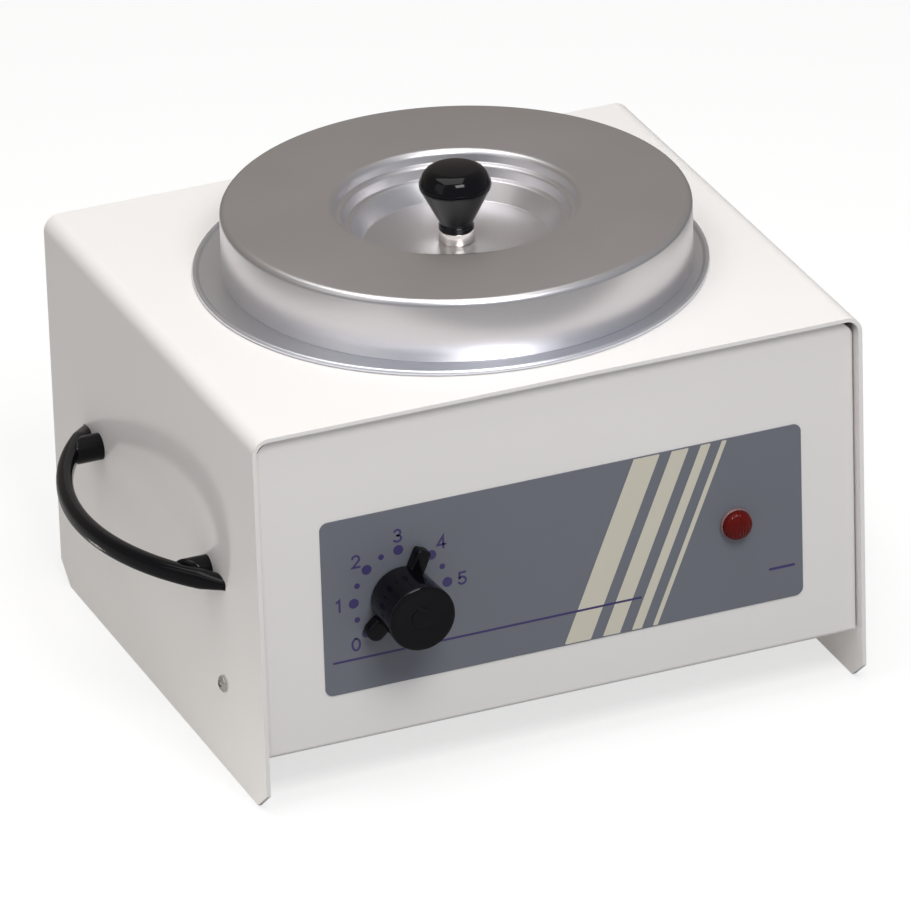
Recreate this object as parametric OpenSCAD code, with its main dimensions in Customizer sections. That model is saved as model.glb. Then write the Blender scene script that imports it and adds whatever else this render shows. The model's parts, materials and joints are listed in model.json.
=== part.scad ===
// Bench wax heater: a folded sheet-metal box with a lift-out wax pot, a spun lid,
// a thermostat with its control knob, a signal lamp and a carrying handle on each side.
// Millimetres. The origin is on the table, below the centre of everything that stands on it.
// +X is to the right seen from the front, +Y to the back, +Z up.

/* [Housing] */
// Width of the cover over its two sides
housing_w = 300; // [290:1:340]
// Depth of the cover from front edge to rear edge
housing_d = 268; // [264:1:320]
// Height of the cover above the table
housing_h = 190; // [180:1:230]
// Thickness of the cover's sheet
cover_sheet = 2; // [1.5:0.1:3]
// Outer radius of the cover's two long bends
cover_bend = 8; // [5:0.5:14]
// Length of the corner cuts at the bottom of the cover's sides
foot_cut_d = 12; // [6:1:18]
// Height of the corner cuts at the bottom of the cover's sides
foot_cut_h = 10; // [6:1:16]
// How far the front panel stands back from the cover's front edge
front_recess = 4; // [3:0.5:10]
// How far the rear panel stands back from the cover's rear edge
rear_recess = 8; // [5.5:0.5:16]
// Thickness of the chassis sheet
chassis_sheet = 1.5; // [1:0.1:2]
// Height of the chassis underside above the table
chassis_z = 26.3; // [20:0.1:30]
// Gap between the chassis and each side of the cover
chassis_gap = 0.4; // [0.3:0.1:2]
// Gap between the top of the panels and the underside of the cover
chassis_top_gap = 0.4; // [0.2:0.1:1.5]
// Outer radius of the chassis folds
chassis_bend = 3; // [2.2:0.1:5]
// Corner radius at the top of the front and rear panels
panel_corner = 12; // [9:0.5:20]
// Width of the folded edges on the front and rear panels
panel_flange = 13; // [9:1:20]
// Height of the folded edges on the chassis floor
floor_flange = 32; // [30:1:40]

/* [Faceplate, knob and lamp] */
// Width of the printed faceplate
plate_w = 238; // [220:1:250]
// Height of the faceplate
plate_h = 88; // [80:1:100]
// Corner radius of the faceplate
plate_corner = 4; // [2:0.5:8]
// Thickness of the faceplate
plate_t = 0.5; // [0.3:0.1:1]
// Sideways place of the faceplate's centre
plate_x = 1; // [-5:0.1:5]
// Height of the faceplate's centre, which is also that of the knob and the lamp
plate_z = 96.2; // [90:0.1:102]
// Distance from the faceplate's left end to the control knob's axis
dial_inset = 38.2; // [34:0.1:44]
// Distance from the faceplate's right end to the signal lamp
lamp_inset = 33.6; // [24:0.1:46]
// Length of the control knob
knob_len = 26; // [20:0.5:32]
// Radius of the control knob at its front
knob_r = 16; // [14:0.5:19]
// Radius of the control knob beside the faceplate
knob_base_r = 15; // [13:0.5:16]
// Gap between the knob and the faceplate
knob_gap = 1; // [0.6:0.1:2]
// Reach of the knob's pointer from the axis
pointer_reach = 24; // [22:0.5:27]
// Width of the pointer
pointer_w = 8.8; // [6:0.2:10]
// Direction of the pointer at rest, turned from +X towards +Z
pointer_angle = 221.9; // [200:0.1:240]
// Reach of the knob's finger lug from the axis
lug_reach = 25.2; // [22:0.2:28]
// Width of the finger lug
lug_w = 7; // [5:0.5:9]
// Direction of the finger lug at rest
lug_angle = 66; // [50:1:80]
// Thickness of the pointer and the lug, along the axis
grip_t = 6; // [4:0.5:8]
// Radius of the lamp's lens
lens_r = 7; // [6:0.2:8.5]
// How far the lens stands out of its bezel
lens_out = 5.4; // [3:0.2:8]

/* [Pot and lid] */
// How far the pot lies to the right in its hole, within its play
pot_x = 2; // [-2:0.1:2.2]
// How far the lid lies to the right of the cover's middle
lid_x = 5.4; // [0:0.1:6]
// Outer radius of the pot's wall
pot_r = 100; // [90:1:101]
// Thickness of the pot's sheet
pot_sheet = 1.5; // [1:0.1:2.5]
// Depth of the pot below the top of the cover
pot_depth = 112; // [90:1:120]
// Corner radius at the bottom of the pot
pot_corner = 12; // [6:1:20]
// Radius of the pot's rim over its rolled edge
rim_r = 120; // [117:0.5:124]
// Radius of the roll at the rim's edge
rim_roll = 1.3; // [1:0.1:1.5]
// Radius between the pot's wall and its rim
rim_fillet = 4; // [2:0.5:6]
// Outer radius of the lid's skirt
lid_r = 109.5; // [107:0.5:111]
// Height of the lid from the skirt's edge to its top
lid_h = 30.5; // [27:0.5:36]
// Thickness of the lid's sheet
lid_sheet = 1.2; // [0.8:0.1:1.6]
// Outer radius of the bend around the lid's top
lid_bend = 3.3; // [2.2:0.1:5]
// Radius of the recess in the lid's top
recess_r = 57.5; // [50:0.5:64]
// Depth of the recess
recess_depth = 19.8; // [16:0.2:24]
// Radius of the bend around the recess
recess_bend = 2.8; // [1.2:0.1:3]
// Radius of the recess's floor
recess_floor_r = 43.5; // [38:0.5:48]
// Radius of the lid's knob
lid_knob_r = 16.5; // [14:0.5:20]
// Height of the lid's knob without its ferrule
lid_knob_h = 31.5; // [30:0.5:36]
// Height of the knob's widest place above its foot
lid_knob_wide = 22.4; // [20:0.2:24]
// Height of the ferrule below the lid's knob
ferrule_h = 5.5; // [4:0.5:9]

/* [Handles and screws] */
// Length of a handle from tip to tip
handle_len = 184; // [170:1:200]
// How far a handle stands out from the side
handle_reach = 39.5; // [32:0.5:50]
// Distance between a handle's two screws
handle_pitch = 140; // [130:1:150]
// Height of the handles
handle_z = 98; // [90:1:120]
// Thickness of a handle's bar, seen from above
handle_bar_t = 8; // [6:0.5:10]
// Height of a handle's bar, seen from the side
handle_bar_h = 9.5; // [8:0.5:13]
// Radius of a handle's bosses
handle_boss_r = 6.5; // [5.5:0.5:8]
// Distance between the two cover screws on a side
cover_screw_pitch = 168; // [150:1:180]
// Height of the cover screws
cover_screw_z = 45; // [42:0.5:50]
// Radius of the screws' threads
screw_r = 1.95; // [1.5:0.05:2.2]
// Radius of the screws' pan heads
head_r = 4; // [3.4:0.1:4.6]
// Height of the screws' pan heads
head_h = 2.6; // [2:0.1:3.2]
// Clearance around a screw in the sheet that it passes
screw_clear = 0.3; // [0.15:0.05:0.5]
// Clearance between a thread and the nut or insert that holds it
thread_clear = 0.05; // [0.02:0.01:0.1]

/* [Heating well] */
// Gap between the pot and the well
well_gap = 3; // [2.5:0.1:4]
// How much wider than the well's outside the hole in the cover is, on the radius
hole_margin = 1.5; // [1:0.1:3]
// Gap between the pot's bottom and the well's floor
well_floor_gap = 1; // [0.5:0.5:3]
// Thickness of the well's sheet
well_sheet = 1; // [0.8:0.1:1.5]
// Radius of the well's top flange
well_flange_r = 112; // [109:0.5:116]
// Corner radius at the bottom of the well
well_corner = 8; // [4:1:12]
// Gap between the well's flange and the cover
well_top_gap = 0.3; // [0.2:0.1:1]
// Height of the band heater
band_h = 55; // [40:1:70]
// Thickness of the band heater
band_t = 2; // [1.5:0.5:3]
// Height of the band heater's lower edge above the well's floor
band_rise = 16; // [12:1:24]
// Opening angle between the two ends of the band heater
band_gap_angle = 12; // [8:1:20]
// Direction of the band heater's opening, turned from +X towards +Y
band_angle = 315; // [305:1:325]
// Thickness of the insulation around the band heater
wrap_t = 4; // [2:0.5:4.5]
// Width of the three legs below the well
leg_w = 22; // [16:1:30]
// Radius at which the legs stand
leg_r = 86; // [76:1:90]

/* [Thermostat] */
// Width and height of the thermostat's body
stat_w = 38; // [30:1:42]
// Depth of the thermostat's body behind the panel
stat_d = 26; // [20:1:28]
// Radius of the control shaft
shaft_r = 3; // [2.5:0.1:3.5]
// Depth of the flat on the control shaft
shaft_flat = 1.4; // [1:0.1:1.8]
// Running clearance around the control shaft
shaft_clear = 0.05; // [0.02:0.01:0.09]
// Radius of the thermostat's threaded bush
bush_r = 5; // [4.5:0.1:5.5]
// Radius of the sensor bulb
bulb_r = 3; // [2.5:0.1:3.5]
// Length of the sensor bulb
bulb_len = 70; // [50:1:90]
// Radius of the capillary tube
capillary_r = 0.8; // [0.6:0.1:1.2]

/* [Mains inlet] */
// Sideways place of the mains inlet on the rear panel
inlet_x = -96; // [-104:1:-90]
// Height of the mains inlet
inlet_z = 62; // [58:1:80]
// Width of the inlet's socket, inside
socket_w = 24.6; // [24:0.1:25.2]
// Height of the inlet's socket, inside
socket_h = 16.6; // [16:0.1:17]
// Depth of the inlet's socket
socket_depth = 16; // [15:0.5:18]
// Thickness of the wall around the socket
socket_wall = 1.3; // [1:0.1:1.8]
// Distance between the inlet's two screws
inlet_pitch = 40; // [38:0.5:44]

/* [Hidden] */
$fn = 96;
eps = 0.01;

// Places along Y. The knob stands out of the front, so the box sits a little behind
// the origin, and the part is centred as a whole.
knob_out = max(0, knob_len + knob_gap + plate_t - front_recess);
mid_y = knob_out / 2;
front_y = mid_y - housing_d / 2;
rear_y = mid_y + housing_d / 2;
panel_y = front_y + front_recess;
back_y = rear_y - rear_recess;
plate_y = panel_y - plate_t;
knob_y = plate_y - knob_gap;
dial_x = plate_x - plate_w / 2 + dial_inset;
lamp_x = plate_x + plate_w / 2 - lamp_inset;

// Places of the chassis
chassis_w = housing_w - 2 * cover_sheet - 2 * chassis_gap;
chassis_d = back_y - panel_y;
chassis_y = (back_y + panel_y) / 2;
chassis_top = housing_h - cover_sheet - chassis_top_gap;
floor_top = chassis_z + chassis_sheet;
flange_x = chassis_w / 2;
hole_r = screw_r + screw_clear;
window_corner = 5;

// Places of the pot, the lid and the well
pot_z = housing_h - pot_depth;
rim_top = housing_h + pot_sheet;
lid_top = rim_top + lid_h;
recess_z = lid_top - recess_depth;
knob_seat = recess_z + ferrule_h;
well_r = pot_r + well_gap + well_sheet;
cover_hole_r = well_r + hole_margin;
well_z = pot_z - well_floor_gap - well_sheet;
well_top = housing_h - cover_sheet - well_top_gap;
band_z = well_z + band_rise;
band_r = well_r + band_t;
fit_gap = 0.2;

// Fasteners and small parts
nut_af = 7;
nut_h = 3.2;
small_nut_af = 5.5;
small_nut_h = 2.4;
small_head_r = 2.8;
small_head_h = 2;
thread_end = 4;
washer_r = 5;
washer_t = 1;
ferrule_r = 8.6;
ferrule_top_r = 7.9;
insert_r = 4.2;
insert_len = 12;
lid_screw_r = 2.45;
clinch_r = 3.3;
clinch_body_r = 4.4;
clinch_len = 6;
bush_nut_af = 14;
bush_nut_h = 2.8;
bush_front = 0.9;
stat_plate_t = 1.2;
tab_w = 6.3;
tab_t = 0.8;
tab_len = 9;
sleeve_end = 2.5;
wire_r = 1;
wire_bend = 5;

// A row of points along an arc, from angle a to angle b around c
function arc(c, r, a, b, n = 12) =
    [for (i = [0:n]) let (t = a + (b - a) * i / n) [c[0] + r * cos(t), c[1] + r * sin(t)]];

function unit(v) = v / norm(v);

// A standing rectangle whose two top corners are rounded
module arch(w, h, r) {
    translate([-w / 2, 0]) square([w, h - r]);
    translate([-w / 2 + r, 0]) square([w - 2 * r, h]);
    for (s = [-1, 1])
        translate([s * (w / 2 - r), h - r]) circle(r);
}

// A centred rectangle with rounded corners
module rounded(w, h, r) {
    square([w - 2 * r, h], center = true);
    square([w, h - 2 * r], center = true);
    for (x = [-1, 1], y = [-1, 1])
        translate([x * (w / 2 - r), y * (h / 2 - r)]) circle(r);
}

// A ring sector of a flat sheet, bent by 90 degrees, in the quarter towards +x and +y
module quarter_bend(r, t) {
    intersection() {
        difference() {
            circle(r);
            circle(r - t);
        }
        square(r + 1);
    }
}

// The points of a round corner of radius r at point i of a line of points
function corner(p, i, r, n = 5) =
    let (a = unit(p[i - 1] - p[i]), b = unit(p[i + 1] - p[i]),
         half = acos(a * b) / 2,
         c = p[i] + unit(a + b) * r / sin(half),
         start = p[i] + a * r / tan(half) - c,
         stop = p[i] + b * r / tan(half) - c,
         t = atan2(start[1], start[0]),
         turn = atan2(stop[1], stop[0]) - t)
    arc(c, r, t, t + (turn > 180 ? turn - 360 : turn < -180 ? turn + 360 : turn), n);

// A line of points whose corners are all rounded
function round_path(p, radii) = [
    p[0],
    for (i = [1:len(p) - 2]) each corner(p, i, radii[i - 1]),
    p[len(p) - 1]
];

// A point of the line moved sideways by d, so that the sheet keeps its thickness
function shifted(p, i, d) =
    let (a = unit(p[min(i + 1, len(p) - 1)] - p[min(i, len(p) - 2)]),
         b = unit(p[max(i, 1)] - p[max(i - 1, 0)]),
         m = unit([-a[1] - b[1], a[0] + b[0]]))
    p[i] + m * d / (m * [-a[1], a[0]]);

// The section of a sheet of thickness t that follows a line of points
module sheet_section(p, t) {
    last = len(p) - 1;
    polygon(concat(
        [for (i = [0:last]) shifted(p, i, t / 2)],
        [for (i = [last:-1:0]) shifted(p, i, -t / 2)]
    ));
}

// Lays a flat outline in the front plane: outline x to +X, outline y to +Z,
// and its thickness away from the viewer from y on
module upright(y, t) {
    translate([0, y + t, 0]) rotate([90, 0, 0]) linear_extrude(t) children();
}

// Turns a shape that stands on +Z so that it points to the front, from a place on the panel
module facing_front(x, y, z) {
    translate([x, y, z]) rotate([90, 0, 0]) children();
}

// Turns a shape that stands on +Z so that it points out of the side s
module facing_side(s, x, y, z) {
    translate([s * x, y, z]) rotate([0, s * 90, 0]) children();
}

// A pan-head screw: its head stands on +Z from the origin, its thread hangs below
module pan_screw(length, r = screw_r, cap_r = head_r, cap_h = head_h) {
    dome_r = (cap_r * cap_r + cap_h * cap_h) / (2 * cap_h) + cap_h * 0.6;
    difference() {
        intersection() {
            cylinder(r = cap_r, h = cap_h);
            translate([0, 0, cap_h - dome_r]) sphere(dome_r);
        }
        for (a = [0, 90])
            rotate(a) translate([-cap_r * 0.55, -0.5, cap_h - 1.5])
                cube([cap_r * 1.1, 1, 2]);
    }
    translate([0, 0, -length]) cylinder(r = r, h = length + eps);
}

module hex_nut(af, h, bore) {
    difference() {
        cylinder(d = af / cos(30), h = h, $fn = 6);
        translate([0, 0, -1]) cylinder(r = bore, h = h + 2);
    }
}

// Length that a bend takes off each of the two straights that it joins
function bend_trim(a, b, c, bend) =
    let (turn = acos(unit(b - a) * unit(c - b))) bend * tan(turn / 2);

// A round tube along a line of points, with every corner bent to one radius.
// The straights reach a little into the bends, which are a trifle thinner.
tube_lap = 0.1;
bend_thinner = 0.03;
module tube_route(points, r, bend) {
    last = len(points) - 1;
    for (i = [0:last - 1]) {
        a = points[i];
        b = points[i + 1];
        u = unit(b - a);
        cut_a = i > 0 ? bend_trim(points[i - 1], a, b, bend) - tube_lap : 0;
        cut_b = i < last - 1 ? bend_trim(a, b, points[i + 2], bend) - tube_lap : 0;
        translate(a + u * cut_a) rotate([0, acos(u[2]), atan2(u[1], u[0])])
            cylinder(r = r, h = norm(b - a) - cut_a - cut_b, $fn = 32);
    }
    for (i = [1:last - 1]) {
        u = unit(points[i] - points[i - 1]);
        v = unit(points[i + 1] - points[i]);
        turn = acos(u * v);
        side = unit(v - u * (u * v));
        centre = points[i] - u * bend * tan(turn / 2) + side * bend;
        up = cross(-side, u);
        multmatrix([
            [-side[0], u[0], up[0], centre[0]],
            [-side[1], u[1], up[1], centre[1]],
            [-side[2], u[2], up[2], centre[2]],
            [0, 0, 0, 1]
        ])
            rotate_extrude(angle = turn)
                translate([bend, 0]) circle(r - bend_thinner, $fn = 32);
    }
}

// A flat push-on tab that stands on +Z
module tab(length) {
    translate([-tab_w / 2, -tab_t / 2, 0]) cube([tab_w, tab_t, length]);
}

// The sleeve that is pushed over a tab, with a solid end for its wire
module sleeve() {
    gap = 0.1;
    difference() {
        translate([-tab_w / 2 - 0.8, -tab_t / 2 - 0.9, 1])
            cube([tab_w + 1.6, tab_t + 1.8, tab_len + sleeve_end - 1]);
        translate([-tab_w / 2 - gap, -tab_t / 2 - gap, 0])
            cube([tab_w + 2 * gap, tab_t + 2 * gap, tab_len]);
    }
}

// Cover: one sheet folded over the top and both sides, whose lower edges are the feet

module cover() {
    color("ivory")
    difference() {
        translate([0, rear_y, 0]) rotate([90, 0, 0]) linear_extrude(housing_d)
            difference() {
                arch(housing_w, housing_h, cover_bend);
                translate([0, -1])
                    arch(housing_w - 2 * cover_sheet, housing_h - cover_sheet + 1,
                         cover_bend - cover_sheet);
            }
        foot_cuts();
        translate([0, mid_y, housing_h - cover_sheet - 1])
            cylinder(r = cover_hole_r, h = cover_sheet + 2);
        for (s = [-1, 1], e = [-1, 1]) {
            facing_side(s, housing_w / 2 - cover_sheet - 1,
                        mid_y + e * cover_screw_pitch / 2, cover_screw_z)
                cylinder(r = hole_r, h = cover_sheet + 2);
            facing_side(s, housing_w / 2 - cover_sheet - 1,
                        mid_y + e * handle_pitch / 2, handle_z)
                cylinder(r = hole_r, h = cover_sheet + 2);
        }
    }
}

// The corner cuts at both ends of the sides
module foot_cuts() {
    for (e = [-1, 1])
        translate([-housing_w / 2 - 1, mid_y, 0])
            rotate([90, 0, 90]) linear_extrude(housing_w + 2)
                polygon([
                    [e * housing_d / 2, foot_cut_h],
                    [e * (housing_d / 2 + foot_cut_d), 2 * foot_cut_h],
                    [e * (housing_d / 2 + foot_cut_d), -foot_cut_h],
                    [e * (housing_d / 2 - 2 * foot_cut_d), -foot_cut_h]
                ]);
}

// Chassis: front panel, floor and rear panel, with a folded edge all along the sides

module chassis_block(w, d, z0, h, r, corner) {
    intersection() {
        translate([0, back_y, z0]) rotate([90, 0, 0]) linear_extrude(d)
            translate([0, h]) mirror([0, 1]) arch(w, h, r);
        translate([-w / 2, chassis_y, z0]) rotate([90, 0, 90]) linear_extrude(w)
            translate([0, h]) mirror([0, 1]) arch(d, h, r);
        translate([0, chassis_y, z0]) linear_extrude(h) rounded(w, d, r);
        translate([0, back_y, z0 - corner]) rotate([90, 0, 0]) linear_extrude(d)
            arch(w, h + corner, corner);
    }
}

module chassis() {
    inner_w = chassis_w - 2 * chassis_sheet;
    inner_d = chassis_d - 2 * chassis_sheet;
    height = chassis_top - chassis_z;
    color("white")
    difference() {
        chassis_block(chassis_w, chassis_d, chassis_z, height, chassis_bend, panel_corner);
        translate([0, chassis_y + inner_d / 2, floor_top]) rotate([90, 0, 0])
            linear_extrude(inner_d) translate([0, height])
                mirror([0, 1]) arch(inner_w, height, chassis_bend - chassis_sheet);
        side_windows();
        panel_holes();
        floor_holes();
        floor_slots();
        rear_slots();
    }
}

// The open part of both sides, between the folded edges
module side_windows() {
    w = chassis_d - 2 * panel_flange;
    h = 2 * housing_h;
    translate([-housing_w / 2, chassis_y, chassis_z + floor_flange + h / 2])
        rotate([90, 0, 90]) linear_extrude(housing_w) rounded(w, h, window_corner);
}

module panel_holes() {
    facing_front(dial_x, panel_y + chassis_sheet + 1, plate_z)
        cylinder(r = bush_r + fit_gap, h = chassis_sheet + 2);
    facing_front(lamp_x, panel_y + chassis_sheet + 1, plate_z)
        cylinder(r = lamp_stem_r + fit_gap, h = chassis_sheet + 2);
    upright(back_y - chassis_sheet - 1, chassis_sheet + 2)
        translate([inlet_x, inlet_z])
            rounded(socket_w + 2 * socket_wall + 2 * fit_gap,
                    socket_h + 2 * socket_wall + 2 * fit_gap, 2);
    for (e = [-1, 1])
        facing_front(inlet_x + e * inlet_pitch / 2, back_y + 1, inlet_z)
            cylinder(r = inlet_screw_r + fit_gap, h = chassis_sheet + 2);
    for (s = [-1, 1], e = [-1, 1])
        facing_side(s, flange_x - chassis_sheet - 1,
                    mid_y + e * cover_screw_pitch / 2, cover_screw_z)
            cylinder(r = clinch_r + fit_gap / 4, h = chassis_sheet + 2);
}

// Vent slots across the chassis floor, below the well
slot_w = 4;
slot_len = 34;
slot_step = 12;
slot_count = 7;
module vent_slots(count) {
    for (i = [0:count - 1])
        translate([(i - (count - 1) / 2) * slot_step, 0])
            rounded(slot_w, slot_len, slot_w / 2 - eps);
}

module floor_slots() {
    for (e = [-1, 1])
        translate([0, mid_y + e * slot_len * 0.75, chassis_z - 1])
            linear_extrude(chassis_sheet + 2) vent_slots(slot_count);
}

module rear_slots() {
    upright(back_y - chassis_sheet - 1, chassis_sheet + 2)
        translate([0, housing_h - 34]) vent_slots(slot_count + 4);
}

module floor_holes() {
    for (a = leg_angles)
        translate([0, mid_y, 0]) rotate(a)
            translate([leg_hole_r, 0, chassis_z - 1])
                cylinder(r = hole_r, h = chassis_sheet + 2);
    for (x = block_screw_x)
        translate([x, block_y, chassis_z - 1])
            cylinder(r = screw_r + thread_clear, h = chassis_sheet + 2);
}

// Faceplate: a thin printed sheet stuck to the front panel

module faceplate() {
    color("slategray")
    difference() {
        upright(plate_y, plate_t)
            translate([plate_x, plate_z]) rounded(plate_w, plate_h, plate_corner);
        facing_front(dial_x, panel_y + 1, plate_z)
            cylinder(r = bush_r + fit_gap, h = plate_t + 2);
        facing_front(lamp_x, panel_y + 1, plate_z)
            cylinder(r = lamp_stem_r + fit_gap, h = plate_t + 2);
    }
}

// Pot: spun from one sheet, hung by its rolled rim from the top of the cover

module pot() {
    z0 = pot_z;
    wall_h = housing_h - z0;
    color("silver")
    translate([pot_x, mid_y, 0]) rotate_extrude()
        union() {
            // wall and bottom
            translate([0, z0]) square([pot_r - pot_corner, pot_sheet]);
            translate([pot_r - pot_sheet, z0 + pot_corner])
                square([pot_sheet, wall_h + pot_sheet - pot_corner - rim_fillet]);
            translate([pot_r - pot_corner, z0 + pot_corner]) mirror([0, 1])
                quarter_bend(pot_corner, pot_sheet);
            // turn from the wall to the rim
            translate([pot_r - pot_sheet + rim_fillet, rim_top - rim_fillet])
                mirror([1, 0]) quarter_bend(rim_fillet, pot_sheet);
            // flat rim and its rolled edge
            translate([pot_r - pot_sheet + rim_fillet, housing_h])
                square([rim_r - rim_roll - pot_r + pot_sheet - rim_fillet, pot_sheet]);
            translate([rim_r - rim_roll, housing_h + rim_roll]) circle(rim_roll);
        }
}

// Lid: spun, with a deep stepped recess in the middle for the knob

module lid() {
    t = lid_sheet;
    top = lid_top - t / 2;
    wall = lid_r - t / 2;
    step = (recess_r - recess_floor_r) * 0.3;
    drop = recess_depth * 0.28;
    lean = 1.5;
    path = [
        [wall, rim_top],
        [wall, top],
        [recess_r, top],
        [recess_r - lean, top - drop],
        [recess_r - step, top - drop],
        [recess_r - step - lean, top - 2 * drop],
        [recess_r - 2 * step, top - 2 * drop],
        [recess_floor_r, recess_z - t / 2],
        [lid_screw_r + 0.15, recess_z - t / 2]
    ];
    color("silver")
    translate([lid_x, mid_y, 0]) rotate_extrude()
        sheet_section(round_path(path, [
            lid_bend - t / 2, recess_bend, 0.9, 1.2, 0.9, 1.2, 1.5
        ]), t);
}

// Ferrule: the polished cone between the lid and its knob
module lid_ferrule() {
    color("gainsboro")
    translate([lid_x, mid_y, recess_z]) difference() {
        cylinder(r1 = ferrule_r, r2 = ferrule_top_r, h = ferrule_h);
        translate([0, 0, -1]) cylinder(r = lid_screw_r + 0.15, h = ferrule_h + 2);
    }
}

// Knob of the lid: a moulded mushroom, narrow at the foot
module lid_knob() {
    r = lid_knob_r;
    foot = ferrule_top_r + 0.4;
    shoulder = lid_knob_wide;
    round_r = r * 0.42;
    dome_h = lid_knob_h - shoulder;
    dome_r = (pow(r - round_r * 0.45, 2) + pow(dome_h * 0.62, 2)) / (2 * dome_h * 0.62);
    color("#1a1a1e")
    translate([lid_x, mid_y, knob_seat]) difference() {
        rotate_extrude() polygon(concat(
            [[0, 0], [foot - 0.8, 0]],
            arc([foot - 0.8, 0.8], 0.8, -90, 0, 5),
            [[foot, 2.6], [foot - 0.5, 3.4]],
            arc([r - 3, shoulder - 2], 3, -22, 0, 4),
            arc([r - round_r, shoulder], round_r, 4, 62, 8),
            arc([0, lid_knob_h - dome_r * 1.15], dome_r * 1.15, 68, 90, 8)
        ));
        translate([0, 0, -1]) cylinder(r = insert_r + thread_clear, h = insert_len + 1.2);
    }
}

module lid_knob_insert() {
    color("goldenrod")
    translate([lid_x, mid_y, knob_seat]) difference() {
        cylinder(r = insert_r, h = insert_len);
        translate([0, 0, -1])
            cylinder(r = lid_screw_r + thread_clear, h = insert_len + 2);
    }
}

// The screw that holds the knob, with its head below the lid
module lid_knob_screw() {
    under = recess_z - lid_sheet;
    color("silver")
    translate([lid_x, mid_y, under]) mirror([0, 0, 1])
        pan_screw(lid_sheet + ferrule_h + insert_len - 1.5, lid_screw_r, 5, 3);
}

// Control knob: a slightly tapered cap with a pointer and a finger lug at its base

nut_room_r = 11.6;
nut_room = 6;
shaft_hub_r = 6;
shaft_depth = 17;
module control_knob() {
    edge = 1.2;
    dish = 1.1;
    dish_r = (pow(knob_r - 3, 2) + dish * dish) / (2 * dish);
    cap_r = 5;
    color("#141418")
    facing_front(dial_x, knob_y, plate_z) difference() {
        union() {
            rotate_extrude() polygon(concat(
                [[0, 0], [knob_base_r - 0.6, 0], [knob_base_r, 0.6]],
                arc([knob_r - edge, knob_len - edge], edge, 0, 90, 6),
                [[0, knob_len]]
            ));
            rotate(pointer_angle) {
                translate([knob_base_r - 3, -pointer_w / 2, 0.3])
                    cube([pointer_reach - pointer_w / 2 - knob_base_r + 3, pointer_w, grip_t]);
                translate([pointer_reach - pointer_w / 2, 0, 0.3])
                    cylinder(r = pointer_w / 2, h = grip_t);
            }
            rotate(lug_angle) translate([knob_base_r - 3, 0, 0.3]) linear_extrude(grip_t)
                translate([(lug_reach - knob_base_r + 3) / 2, 0])
                    rounded(lug_reach - knob_base_r + 3, lug_w, 1);
        }
        // shallow dish in the face, around a small flat cap
        difference() {
            translate([0, 0, knob_len - dish + dish_r]) sphere(dish_r, $fn = 160);
            translate([0, 0, knob_len - 2 * dish]) cylinder(r = cap_r, h = 1.4 * dish);
        }
        // room for the bush and its nut, around the hub
        difference() {
            translate([0, 0, -1]) cylinder(r = nut_room_r, h = nut_room + 1);
            translate([0, 0, bush_nut_h + bush_front + 0.6 - knob_gap])
                cylinder(r = shaft_hub_r, h = nut_room);
        }
        translate([0, 0, -1]) shaft_form(shaft_r + thread_clear, shaft_depth + 1);
    }
}

// A round bar with one flat along its upper side
module shaft_form(r, h) {
    difference() {
        cylinder(r = r, h = h);
        translate([-r - 1, r - shaft_flat, -1]) cube([2 * r + 2, 2 * r, h + 2]);
    }
}

module thermostat_shaft() {
    back = plate_t + chassis_sheet + stat_plate_t + 6 + knob_gap;
    color("silver")
    facing_front(dial_x, knob_y, plate_z) union() {
        shaft_form(shaft_r, shaft_depth - 0.4);
        translate([0, 0, -back]) cylinder(r = shaft_r, h = back + eps);
        translate([0, 0, -back]) cylinder(r = shaft_r + 1.4, h = 1.6);
    }
}

// Thermostat: a moulded body behind the panel, held by its threaded bush and nut

stat_front = panel_y + chassis_sheet;
stat_plate = stat_front + stat_plate_t;
module thermostat_body() {
    hollow_r = shaft_r + 2;
    color("dimgray")
    difference() {
        upright(stat_plate, stat_d) translate([dial_x, plate_z]) rounded(stat_w, stat_w, 4);
        facing_front(dial_x, stat_plate + 9, plate_z) cylinder(r = hollow_r, h = 12);
        for (z = [-1, 1])
            translate([dial_x, stat_plate + stat_d, plate_z + z * (stat_w / 2 - 3)])
                cube([stat_w + 2, 5, 2], center = true);
    }
}

module thermostat_bush() {
    reach = chassis_sheet + plate_t + bush_nut_h + bush_front;
    color("silver")
    difference() {
        union() {
            upright(stat_front, stat_plate_t)
                translate([dial_x, plate_z]) rounded(stat_w + 6, stat_w - 8, 3);
            facing_front(dial_x, stat_front + eps, plate_z) cylinder(r = bush_r, h = reach);
        }
        facing_front(dial_x, stat_front + stat_plate_t + 1, plate_z)
            cylinder(r = shaft_r + shaft_clear, h = reach + stat_plate_t + 2);
    }
}

module thermostat_nut() {
    color("silver")
    facing_front(dial_x, plate_y, plate_z)
        hex_nut(bush_nut_af, bush_nut_h, bush_r + thread_clear);
}

// Flat push-on tabs below the thermostat
stat_tab_x = 11;
stat_tab_y = stat_plate + stat_d - 6;
module stat_tab_place(e) {
    translate([dial_x + e * stat_tab_x, stat_tab_y, plate_z - stat_w / 2])
        rotate([180, 0, 0]) children();
}

module thermostat_tabs() {
    color("goldenrod")
    for (e = [-1, 1])
        stat_tab_place(e) tab(tab_len);
}

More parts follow.
